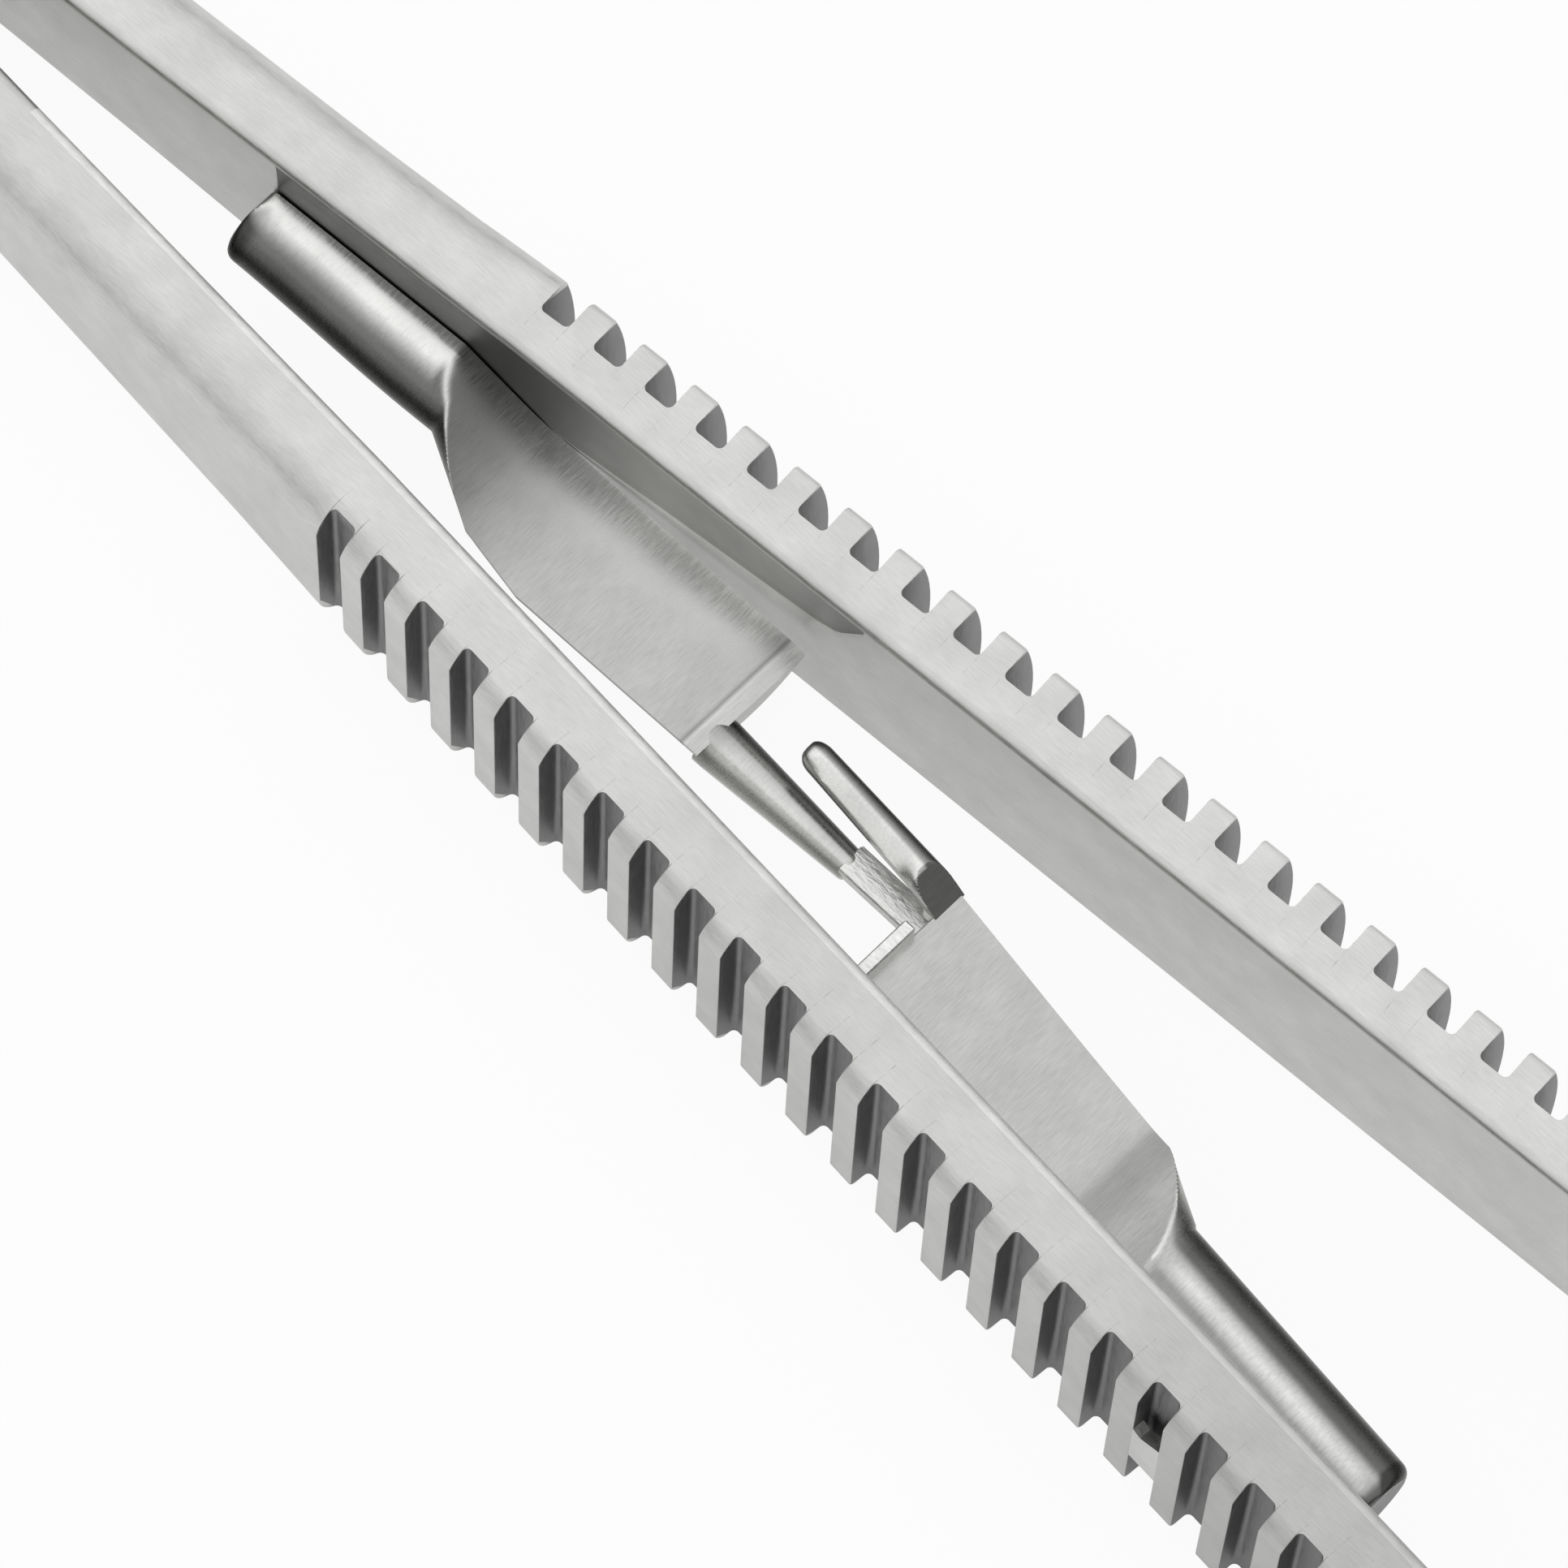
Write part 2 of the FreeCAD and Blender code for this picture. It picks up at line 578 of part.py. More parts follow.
def build_catch():
    """Catch on the far handle: root bar, scoop, wide plate, half-round pin and ground tongue."""
    body = new_body("catch_hook")
    waist = "catch_root_end + catch_scoop"
    swollen = "(catch_root_width + catch_root_swell)"
    welded_root(body, FAR, [("catch_root_start", "catch_root_width"), (waist, swollen)], "catch_root_height")
    profile = new_sketch(body, "catch_side_profile", role="XZ_Plane")
    outline(profile, [
        ("catch_root_end", "catch_root_height / 2", "catch_scoop_radius", -1),
        (f"{waist}", "0"),
        (f"{waist} + catch_scoop", "0"),
        (f"{waist} + catch_scoop", "catch_root_height"),
        ("catch_root_end", "catch_root_height"),
    ])
    outline(profile, [
        ("catch_root_end", "-1 * catch_root_height"),
        ("catch_root_end", "-1 * catch_root_height / 2"),
        (waist, "-1 * catch_plate_thick"),
        (f"{waist} + catch_scoop", "-1 * catch_root_height"),
    ])
    pocket_through(body, profile, "catch_scoops")
    plan = new_sketch(body, "catch_plan", lift="-1 * catch_plate_thick")
    outline(plan, [
        ("catch_root_end", inner_face("catch_root_end")),
        ("catch_root_end", f"{inner_face('catch_root_end')} - catch_root_width"),
        ("catch_root_end + root_round", f"{inner_face('catch_root_end')} - {swollen}"),
        ("catch_root_end + 0.6 * catch_flare", "-0.75 * catch_near_edge"),
        ("catch_root_end + catch_flare", "-1 * catch_near_edge"),
        ("catch_plate_end", "-1 * catch_near_edge + catch_edge_run"),
        ("catch_plate_end", "catch_far_edge"),
        (waist, inner_face(waist)),
    ])
    pad(body, plan, "catch_plate_thick", "catch_plate", symmetric=False)
    belly = new_sketch(body, "catch_belly_profile", role="YZ_Plane", lift=waist)
    half, deep = "((catch_near_edge + catch_far_edge) / 2)", "(catch_plate_thick - catch_edge_thick)"
    outline(belly, [
        ("-1 * catch_near_edge", "-1 * catch_edge_thick", f"({half} ^ 2 + {deep} ^ 2) / (2 * {deep})", -1),
        ("catch_far_edge", "-1 * catch_edge_thick"),
        ("2 * catch_far_edge", "-1 * catch_edge_thick"),
        ("2 * catch_far_edge", "-2 * catch_plate_thick"),
        ("-2 * catch_near_edge", "-2 * catch_plate_thick"),
        ("-2 * catch_near_edge", "-1 * catch_edge_thick"),
    ])
    pocket_side(body, belly, f"catch_plate_end - ({waist})", "catch_belly", side=1)
    bevel = new_sketch(body, "catch_bevel_profile", role="XZ_Plane")
    outline(bevel, [
        ("catch_plate_end - catch_bevel_run", "0"),
        ("catch_plate_end", "-1 * catch_bevel_drop"),
        ("catch_plate_end", "catch_plate_thick"),
        ("catch_plate_end - catch_bevel_run", "catch_plate_thick"),
    ])
    pocket_through(body, bevel, "catch_bevel")
    pin = body.newObject("PartDesign::AdditiveCone", "catch_pin")
    pin.AttachmentSupport = [(origin_plane(body, "XY_Plane"), "")]
    pin.MapMode = "FlatFace"
    pin.Angle = 180
    pin.AttachmentOffset = FreeCAD.Placement(FreeCAD.Vector(), FreeCAD.Rotation(FreeCAD.Vector(1, 1, 1), 120))
    pin.setExpression("AttachmentOffset.Base.x", bound("catch_plate_end - catch_plate_thick / 4"))
    pin.setExpression("AttachmentOffset.Base.y", bound("-1 * catch_pin_offset"))
    pin.setExpression("AttachmentOffset.Base.z", bound("-1 * catch_plate_thick"))
    pin.setExpression("Radius1", bound("catch_pin_radius"))
    pin.setExpression("Radius2", bound("catch_pin_tip_radius"))
    pin.setExpression("Height", bound("catch_pin_length + catch_plate_thick / 4"))
    tongue = new_sketch(body, "catch_tongue_plan", lift="-1 * catch_plate_thick")
    start = "catch_plate_end + catch_pin_length - catch_plate_thick / 4"
    end = "catch_plate_end + catch_pin_length + catch_tongue_length"
    outline(tongue, [
        (start, "-1 * catch_pin_offset - catch_tongue_width / 2"),
        (end, "-1 * catch_pin_offset - catch_tongue_width / 2"),
        (end, "-1 * catch_pin_offset + catch_tongue_width / 2"),
        (start, "-1 * catch_pin_offset + catch_tongue_width / 2"),
    ])
    pad(body, tongue, "catch_tongue_thick", "catch_tongue", symmetric=False)
    return body


def build_keeper():
    """Keeper on the near handle: root, plate, raised head with its prong, notch and ground lip."""
    body = new_body("keeper_fork")
    waist = "keeper_root_start - keeper_scoop"
    top = "keeper_plate_lift + keeper_plate_thick / 2"
    under = "keeper_plate_lift - keeper_plate_thick / 2"
    slit = f"-1 * ({inner_face('keeper_plate_start')}) + keeper_edge_gap"
    swollen = "(keeper_root_width + keeper_root_swell)"
    ends = [(waist, swollen), ("keeper_root_end", "keeper_root_width")]
    welded_root(body, NEAR, ends, "keeper_root_height")
    profile = new_sketch(body, "keeper_side_profile", role="XZ_Plane")
    outline(profile, [
        (f"{waist} - keeper_scoop", top),
        (waist, top),
        ("keeper_root_start", "keeper_root_height / 2"),
        ("keeper_root_start", "keeper_root_height"),
        (f"{waist} - keeper_scoop", "keeper_root_height"),
    ])
    outline(profile, [
        (f"{waist} - keeper_scoop", under),
        (waist, under),
        ("keeper_root_start", "-1 * keeper_root_height / 2"),
        ("keeper_root_start", "-1 * keeper_root_height"),
        (f"{waist} - keeper_scoop", "-1 * keeper_root_height"),
    ])
    pocket_through(body, profile, "keeper_scoops")
    plan = new_sketch(body, "keeper_plan", lift=under)
    outline(plan, [
        ("keeper_plate_start", "keeper_far_edge"),
        (f"{waist} - keeper_scoop", "-1 * keeper_waist_edge"),
        ("keeper_root_start - root_round - keeper_shoulder", "-1 * keeper_shoulder_edge"),
        ("keeper_root_start", f"-1 * ({inner_face('keeper_root_start')}) + {swollen}"),
        ("keeper_root_start", f"-1 * ({inner_face('keeper_root_start')})"),
        (waist, f"-1 * ({inner_face(waist)})"),
        (waist, f"-1 * ({inner_face(waist)}) + keeper_edge_gap"),
        ("keeper_plate_start", slit),
    ])
    pad(body, plan, "keeper_plate_thick", "keeper_plate", symmetric=False)
    tip = "keeper_plate_start - keeper_prong_length"
    far_tip = "keeper_far_edge + keeper_prong_lean"
    full = f"{tip} + keeper_prong_width / 2"
    rear = "keeper_plate_start + keeper_head_length"
    stations = [
        (tip, f"{far_tip} - 0.8 * keeper_prong_width", far_tip, "0.8 * keeper_prong_height"),
        (full, f"{far_tip} - keeper_prong_width", far_tip, "keeper_prong_height"),
        (rear, "keeper_far_edge - keeper_head_width", "keeper_far_edge", "keeper_prong_height"),
    ]
    ruled_bar(body, "keeper_prong", stations, 0, FAR, bar_section, corner="prong_round", soft="weld_break",
              lift="keeper_prong_foot + keeper_prong_height / 2")
    slope = new_sketch(body, "keeper_ramp_profile", role="XZ_Plane")
    outline(slope, [
        (rear, top),
        (rear, "keeper_root_height"),
        (f"{rear} - keeper_ramp", "keeper_root_height"),
        (f"{rear} - keeper_ramp", "keeper_prong_foot + keeper_prong_height"),
    ])
    pocket_through(body, slope, "keeper_ramp")
    lip = new_sketch(body, "keeper_lip_plan", lift=top)
    outline(lip, [
        ("keeper_plate_start", "keeper_notch_edge"),
        ("keeper_plate_start + keeper_lip_width", "keeper_notch_edge"),
        ("keeper_plate_start + keeper_lip_width", slit),
        ("keeper_plate_start", slit),
    ])
    pad(body, lip, "keeper_lip_height", "keeper_lip", symmetric=False)
    notch = new_sketch(body, "keeper_notch_plan", lift="-1 * keeper_root_height / 2")
    outline(notch, [
        ("keeper_plate_start - 1", "keeper_notch_edge"),
        ("keeper_plate_start + keeper_lip_width", "keeper_notch_edge"),
        ("keeper_plate_start + keeper_lip_width", "keeper_far_edge - keeper_head_width"),
        ("keeper_plate_start - 1", "keeper_far_edge - keeper_head_width"),
    ])
    pocket_side(body, notch, "keeper_root_height", "keeper_notch", side=1)
    return body


def faults():
    """Objects that failed to build."""
    return [f"{item.Name} ({item.getStatusString()})" for item in doc.Objects
            if {"Invalid", "Error"} & set(item.State)]


bodies = [
    build_arm("near_arm", NEAR, with_leaf=True),
    build_arm("far_arm", FAR, with_leaf=False),
    build_leaf(),
    build_screw(),
    build_catch(),
    build_keeper(),
]
bodies += [build_rivet(name, across) for name, across in rivet_places().items()]
doc.recompute()
failed = faults()
if failed:
    raise RuntimeError("failed objects: " + ", ".join(failed))
for body in bodies:
    if body.Shape.isNull() or not body.Shape.isValid():
        raise RuntimeError("bad shape: " + body.Label)

os.makedirs("parts", exist_ok=True)
for body in bodies:
    body.Shape.exportStep(f"parts/{body.Label}.step")
    box = body.Shape.BoundBox
    low = f"{box.XMin:.2f}, {box.YMin:.2f}, {box.ZMin:.2f}"
    high = f"{box.XMax:.2f}, {box.YMax:.2f}, {box.ZMax:.2f}"
    print(f"{body.Label}: {len(body.Shape.Solids)} solid, {body.Shape.Volume:.1f} mm3, {low} to {high}")
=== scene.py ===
# %% [markdown]
# # A locked needle holder, close up
# This notebook dresses a packed metal instrument in Blender. Two grooved handles lie on a pale table,
# held together by a thumb catch. All sizes are millimetres in the drawing, turned to metres at the end.

# %% Load the frame
import math

import bmesh
import bpy
import numpy as np
from mathutils import Matrix, Vector


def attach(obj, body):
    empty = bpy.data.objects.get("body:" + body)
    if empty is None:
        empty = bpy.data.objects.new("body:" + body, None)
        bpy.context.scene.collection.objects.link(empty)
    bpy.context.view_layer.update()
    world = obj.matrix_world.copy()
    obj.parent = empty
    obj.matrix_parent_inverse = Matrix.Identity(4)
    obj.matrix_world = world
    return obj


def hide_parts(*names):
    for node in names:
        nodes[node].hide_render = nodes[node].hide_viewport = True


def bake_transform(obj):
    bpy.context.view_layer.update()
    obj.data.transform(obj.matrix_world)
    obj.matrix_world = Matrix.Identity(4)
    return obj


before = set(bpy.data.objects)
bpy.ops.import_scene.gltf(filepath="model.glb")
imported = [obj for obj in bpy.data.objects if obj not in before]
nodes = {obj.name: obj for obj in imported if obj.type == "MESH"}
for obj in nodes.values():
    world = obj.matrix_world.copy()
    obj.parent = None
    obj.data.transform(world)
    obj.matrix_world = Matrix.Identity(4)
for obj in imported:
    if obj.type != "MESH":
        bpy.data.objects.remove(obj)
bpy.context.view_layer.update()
print("nodes:", sorted(nodes))

# %% [markdown]
# ## Sizes shared with the solids
# The pivot axis stands at X0 Y0 of the drawing and the handles' mid-plane at Z0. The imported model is
# centred, so every drawn point is moved along X and lifted by half the handle height.

# %% Sizes
MM = 0.001
TOTAL_LENGTH, JAW_LENGTH, TAIL_RUN = 140.0, 12.5, 48.5
HANDLE_HEIGHT, ARM_THICK = 6.3, 2.24
HALF_ANGLE, CROSSING = math.radians(3.82), 1.22
SIDE_RADIUS, SIDE_SWELL = 12.0, 0.29
EDGE_RUN, EDGE_DROP, EDGE_ROUND = 0.5, 0.6, 0.12
LEAF_THICK, LEAF_HEIGHT, LEAF_GAP, TAPER = 1.0, 5.2, 0.04, 7.0
INNER = -CROSSING * math.sin(HALF_ANGLE)
OUTER = INNER + ARM_THICK
TAIL_END = TOTAL_LENGTH - JAW_LENGTH
HANDLE_START, ARM_END = 5.0, TAIL_END - TAIL_RUN
THINNED = ARM_END + TAPER
SHIFT = np.array([JAW_LENGTH - TOTAL_LENGTH / 2, 0.0, HANDLE_HEIGHT / 2])
NEAR, FAR = -1, 1


def placed(points):
    """Drawing millimetres to metres in the row frame: add the shift, times a thousandth."""
    return (np.asarray(points, float) + SHIFT) * MM


print("handle from", round(INNER, 3), "to", round(OUTER, 3), "mm across, thinning at", ARM_END)

# %% [markdown]
# ## Camera
# The picture is a close view of the middle of the instrument, from above and from the near side, with a
# long lens. The camera could be turned by hand until the view fits. It is placed by direction and distance
# from one aimed point instead, and rolled a little, because those numbers can be measured and read again.

# %% Camera
AIM = placed([44.5, -0.368, 0.0])
AZIMUTH, ELEVATION, ROLL = np.radians([41.343, 68.427, 3.42])
DISTANCE = 0.2294
FOCAL_PIXELS, IMAGE_PIXELS, SENSOR = 11934.6, 1932.0, 36.0

aside, ahead = math.sin(AZIMUTH), math.cos(AZIMUTH)
back = np.array([math.cos(ELEVATION) * aside, -math.cos(ELEVATION) * ahead, math.sin(ELEVATION)])
level = np.array([ahead, aside, 0.0])
rise = np.cross(back, level)
right = level * math.cos(ROLL) + rise * math.sin(ROLL)
up = rise * math.cos(ROLL) - level * math.sin(ROLL)
camera_data = bpy.data.cameras.new("camera")
camera_data.sensor_width = SENSOR
camera_data.lens = FOCAL_PIXELS / IMAGE_PIXELS * SENSOR
camera_data.clip_start = 0.01
camera_data.clip_end = 10.0
camera = bpy.data.objects.new("camera", camera_data)
bpy.context.scene.collection.objects.link(camera)
spot = AIM + DISTANCE * back
camera.matrix_world = Matrix([[right[k], up[k], back[k], spot[k]] for k in range(3)] + [[0, 0, 0, 1]])
bpy.context.scene.camera = camera
bpy.context.scene.view_settings.view_transform = "Standard"
print("lens", round(camera_data.lens, 1), "mm at", spot.round(4))

# %% [markdown]
# ## Node and colour helpers
# A material is a small graph. One function adds a node with its settings and links, and one turns an sRGB
# colour as it is written on paper into the linear values that Blender works with.

# %% Helpers for materials


def linear(code):
    """sRGB hex to linear: c/12.92 below 0.04045, else ((c+0.055)/1.055)^2.4, with alpha 1."""
    part = np.array([int(code[k:k + 2], 16) for k in (1, 3, 5)]) / 255
    out = np.where(part <= 0.04045, part / 12.92, ((part + 0.055) / 1.055) ** 2.4)
    return (*out.tolist(), 1.0)


def add(tree, kind, settings=(), **sockets):
    """Add a node: settings are its properties, and sockets its inputs by name, a value or a link."""
    node = tree.nodes.new(kind)
    for key, value in dict(settings).items():
        setattr(node, key, value)
    for key, value in sockets.items():
        socket = node.inputs[int(key[1:])] if key[1:].isdigit() else node.inputs[key.replace("_", " ")]
        if isinstance(value, bpy.types.NodeSocket):
            tree.links.new(value, socket)
        else:
            socket.default_value = value
    return node


def new_material(name):
    """A material with an empty graph, and that graph."""
    material = bpy.data.materials.new(name)
    material.use_nodes = True
    material.node_tree.nodes.clear()
    return material, material.node_tree


print("colour check, white:", linear("#FFFFFF"))

# %% [markdown]
# ## Ground steel
# Steel is ground with a belt or a stone, which leaves fine lines one way and slow clouds of lighter and
# darker metal. A photograph of steel would do this, but drawn-out noise needs no picture and its line width
# is a real size. The same lines move roughness, shade and height, because on metal they are one thing. What
# only some spots have is painted on the points of a piece as an attribute: painted shade above nought and
# painted highlight below it, put where the photograph shows them, and a slight darkening of the near handle
# towards the tail.

# %% Ground steel
NOISE_LOW, NOISE_HIGH = 0.3, 0.7
CLOUD_SIZE = 1.2


def along_bands(tree, place, bands):
    """A factor that follows (X in drawing mm, factor) pairs along the instrument."""
    first, last = bands[0][0], bands[-1][0]
    parts = add(tree, "ShaderNodeSeparateXYZ", Vector=place.outputs["Object"])
    share = add(tree, "ShaderNodeMapRange", Value=parts.outputs["X"],
                From_Min=float(placed([first, 0, 0])[0]), From_Max=float(placed([last, 0, 0])[0]))
    ramp = add(tree, "ShaderNodeValToRGB", Fac=share.outputs[0])
    while len(ramp.color_ramp.elements) < len(bands):
        ramp.color_ramp.elements.new(0.5)
    for stop, (reach, factor) in zip(ramp.color_ramp.elements, bands):
        stop.position, stop.color = (reach - first) / (last - first), (factor, factor, factor, 1)
    return ramp.outputs[0]


def ground_steel(name, colour, roughness, grain, depth, contrast=0.09, bands=()):
    """Ground steel: noise with a grain in mm per axis moves roughness, shade and height.

    Bands of (X in mm, factor) shade along X. Where the points carry painted shade and highlight, shade is 1
    minus it.
    """
    material, tree = new_material(name)
    place = add(tree, "ShaderNodeTexCoord")
    lay = add(tree, "ShaderNodeMapping", Vector=place.outputs["Object"],
              Scale=[1 / (size * MM) for size in grain])
    lines = add(tree, "ShaderNodeTexNoise", Vector=lay.outputs[0], Scale=1.0, Detail=3.0, Roughness=0.6)
    cloud = add(tree, "ShaderNodeTexNoise", Vector=place.outputs["Object"], Scale=1 / (CLOUD_SIZE * MM),
                Detail=4.0)
    rough = add(tree, "ShaderNodeMapRange", Value=lines.outputs[0], From_Min=NOISE_LOW, From_Max=NOISE_HIGH,
                To_Min=roughness - 0.06, To_Max=roughness + 0.08)
    streak = add(tree, "ShaderNodeMapRange", Value=lines.outputs[0], From_Min=NOISE_LOW, From_Max=NOISE_HIGH,
                 To_Min=1 - contrast, To_Max=1 + contrast)
    patch = add(tree, "ShaderNodeMapRange", Value=cloud.outputs[0], From_Min=NOISE_LOW, From_Max=NOISE_HIGH,
                To_Min=0.93, To_Max=1.05)
    # The points' paint: painted shade above nought, painted highlight below it.
    painted_shade_and_highlight = add(tree, "ShaderNodeAttribute", {"attribute_name": "painted_shade_and_highlight"})
    kept = add(tree, "ShaderNodeMath", {"operation": "SUBTRACT"}, _0=1.0, _1=painted_shade_and_highlight.outputs["Fac"])
    shade = add(tree, "ShaderNodeMath", {"operation": "MULTIPLY"}, _0=streak.outputs[0], _1=patch.outputs[0])
    shade = add(tree, "ShaderNodeMath", {"operation": "MULTIPLY"}, _0=shade.outputs[0], _1=kept.outputs[0])
    if bands:
        shade = add(tree, "ShaderNodeMath", {"operation": "MULTIPLY"}, _0=shade.outputs[0],
                    _1=along_bands(tree, place, bands))
    tint = add(tree, "ShaderNodeMix", {"data_type": "RGBA", "blend_type": "MULTIPLY"}, _0=1.0,
               _6=linear(colour), _7=shade.outputs[0])
    bump = add(tree, "ShaderNodeBump", Strength=1.0, Distance=depth * MM, Height=lines.outputs[0])
    steel = add(tree, "ShaderNodeBsdfPrincipled", Base_Color=tint.outputs[2], Metallic=1.0,
                Roughness=rough.outputs[0], Normal=bump.outputs[0])
    add(tree, "ShaderNodeOutputMaterial", Surface=steel.outputs[0])
    return material


print("clouds in the steel:", CLOUD_SIZE, "mm")

# %% [markdown]
# ## Finishes
# Surgical instruments are stainless steel, ground and then satin finished so that they don't dazzle. One
# recipe makes every finish, with its own grain direction, line width and depth. Lines finer than about
# 0.05 mm would not show in the picture, so the finest grain is drawn as coarse as that.

# %% Finishes of handles and leaf
# Satin: lines along the handle, and a pale grey without mirror images.
satin = ground_steel("satin_stainless_steel", "#D9D9D7", 0.34, grain=(0.5, 0.05, 0.05), depth=0.0022)
# Spring steel: longer, shallower lines, and a little more shine.
leaf_steel = ground_steel("polished_spring_steel", "#D2D2D0", 0.26, grain=(1.6, 0.08, 0.08), depth=0.0008)
# Painted highlight: a bright, soft steel along the near handle's inner edge, a thin light line.
highlight_edge_steel = ground_steel("painted_highlight_edge_steel", "#F6F6F4", 0.55, grain=(0.3, 0.05, 0.05), depth=0.0008)
# Milled: the cutter's upright marks are left as they are, dull, and darker down in the grooves as painted
# shade.
milled_shaded_steel = ground_steel("milled_steel_with_painted_shade", "#8C8C8C", 0.42, grain=(0.07, 0.07, 0.7), depth=0.004, contrast=0.22)
# Painted shade and reflection: a dull dark grey next to the catch root, where shade falls, that fades along
# the handle. The six stops were set by measuring grey levels along the handle in the photograph and in a
# render, and comparing them.
DARK_BANDS = ((25.2, 0.3), (31.0, 0.34), (33.5, 0.5), (37.0, 0.9), (42.6, 0.85), (43.7, 0.5))
dark_steel = ground_steel("painted_shade_band_steel", "#B4B4B2", 0.38, grain=(0.5, 0.05, 0.05), depth=0.002,
                          bands=DARK_BANDS)
print("handle finishes:", [m.name for m in (satin, leaf_steel, highlight_edge_steel, milled_shaded_steel, dark_steel)])

# %% Finishes of catch, keeper, screw and rivets
# Cross ground: lines across the piece, so highlights break up along them.
catch_steel = ground_steel("cross_ground_steel", "#C9C9C7", 0.25, grain=(0.05, 0.5, 0.05), depth=0.0014,
                           contrast=0.12)
# Coarse ground: a torn, bright surface straight from the wheel.
rough_steel = ground_steel("coarse_ground_steel", "#EDEDEB", 0.34, grain=(0.3, 0.1, 0.1), depth=0.016,
                           contrast=0.2)
# Turned: even and clean, with no direction.
turned_steel = ground_steel("turned_screw_steel", "#CFCFCD", 0.25, grain=(0.08, 0.08, 0.08), depth=0.0008)
for name, material in (("near_arm", satin), ("far_arm", satin), ("far_tail_leaf", leaf_steel),
                       ("catch_hook", catch_steel), ("keeper_fork", catch_steel),
                       ("pivot_screw", turned_steel), ("tail_rivet_front", turned_steel),
                       ("tail_rivet_rear", turned_steel)):
    nodes[name].data.materials.clear()
    nodes[name].data.materials.append(material)
print("materials:", [m.name for m in bpy.data.materials])

# %% [markdown]
# ## Handles
# A handle is one bar, flat on its inner side, with grooves cut across the outer one. Booleans would leave
# knife edges, so the bar is one surface of two parameters: a column index that walks along the handle and
# down into each groove, and a row index that walks round the section.

# %% Walk along the handle
GROOVE_FIRST, GROOVE_PITCH, GROOVE_WIDTH = 33.45, 1.6, 0.85
GROOVE_DEPTH = {NEAR: 0.6, FAR: 0.6 + 0.45 + SIDE_SWELL}
FLOOR_ROUND, LIP_ROUND, STAGGER, PLAIN_END = 0.15, 0.05, 0.2, 2.0
FRONT_STEPS, REAR_STEPS = 48, 12


def arc(centre, radius, start, end, count):
    """Points centre + radius (cos t, sin t) for count angles from start to end, in degrees."""
    turn = np.radians(np.linspace(start, end, count))
    return np.stack([centre[0] + radius * np.cos(turn), centre[1] + radius * np.sin(turn)], axis=1)


def plain(reaches):
    """(along, 0) points at the distances given."""
    return np.stack([reaches, 0 * reaches], axis=1)


def groove_walk(deep):
    """(along, depth) points down, across and up one groove whose middle is at along 0."""
    half = GROOVE_WIDTH / 2
    lip = arc((-half - LIP_ROUND, LIP_ROUND), LIP_ROUND, -90, 0, 4)
    floor = arc((-half + FLOOR_ROUND, deep - FLOOR_ROUND), FLOOR_ROUND, 180, 90, 7)
    down = np.concatenate([lip, floor])
    return np.concatenate([down, down[::-1] * [-1, 1]])


def handle_walk(side):
    """(along, depth) of every column from the joint to the leaf."""
    first = GROOVE_FIRST - (STAGGER if side == FAR else 0.0)
    count = int((ARM_END - PLAIN_END - first) / GROOVE_PITCH) + 1
    middles = first + GROOVE_PITCH * np.arange(count)
    dips = (groove_walk(GROOVE_DEPTH[side])[None] + plain(middles)[:, None]).reshape(-1, 2)
    before = plain(np.linspace(HANDLE_START, first - GROOVE_WIDTH, FRONT_STEPS))
    after = plain(np.linspace(middles[-1] + GROOVE_WIDTH, THINNED, REAR_STEPS))
    return np.concatenate([before, dips, after])


print("columns along a handle:", len(handle_walk(NEAR)))

# %% [markdown]
# ## Edges and sides of the section
# The near handle's outer side is flat, with a worn slope along its upper edge, and the far one's is crowned.
# A bevel would round every edge alike. Here each edge has its own run, drop and power along the handle, in a
# table, because grinding left the front well rounded and the grooved part crisp.

# %% Tables along the handle
SOFT = 0.3
HEIGHT_AT = np.array([[1.02, 4.4], [20.0, 5.1], [33.0, HANDLE_HEIGHT], [ARM_END, HANDLE_HEIGHT],
                      [THINNED, LEAF_HEIGHT]])
THIN_AT = np.array([[ARM_END, 0.0], [THINNED, 1.0]])
SWELL_AT = np.array([[14.0, SIDE_SWELL], [20.0, 0.0], [27.0, 0.0], [34.0, SIDE_SWELL],
                     [ARM_END, SIDE_SWELL], [THINNED, 0.0]])
# Each row: distance along the handle, run across, drop down the side, and power of the curve.
SLOPE = (EDGE_RUN, EDGE_DROP, 1.3)
CRISP = (EDGE_ROUND, EDGE_ROUND, 1.5)
NEAR_UPPER = np.array([(14.0, *SLOPE), (20.0, 1.3, 1.4, 2.0), (30.0, 1.3, 1.4, 2.0), (36.0, *SLOPE),
                       (ARM_END, *SLOPE), (THINNED, EDGE_ROUND, EDGE_ROUND, 1.3)])
NEAR_LOWER = np.array([(14.0, *CRISP), (20.0, 1.4, 1.5, 2.0), (30.0, 1.4, 1.5, 2.0), (38.0, 0.7, 0.9, 2.0),
                       (52.0, *CRISP)])
FAR_EDGE = np.array([(14.0, *CRISP), (20.0, 1.0, 1.0, 2.0), (30.0, 1.0, 1.0, 2.0), (34.0, *CRISP)])
EDGES_AT = {NEAR: (NEAR_UPPER, NEAR_LOWER), FAR: (FAR_EDGE, FAR_EDGE)}
# The dark band: its depth under the top edge over the distance along the far handle.
BAND_AT = np.array([[25.3, 2.6], [31.0, 2.8], [33.5, 2.9], [38.0, 2.1], [42.6, 1.4], [43.1, 1.2],
                    [43.45, 0.85], [43.62, 0.45], [43.7, 0.05]])
BAND_DEPTH, BAND_GAP = 0.05, 0.1
print("far band", round(float(BAND_AT[-1, 0] - BAND_AT[0, 0]), 1), "mm long")

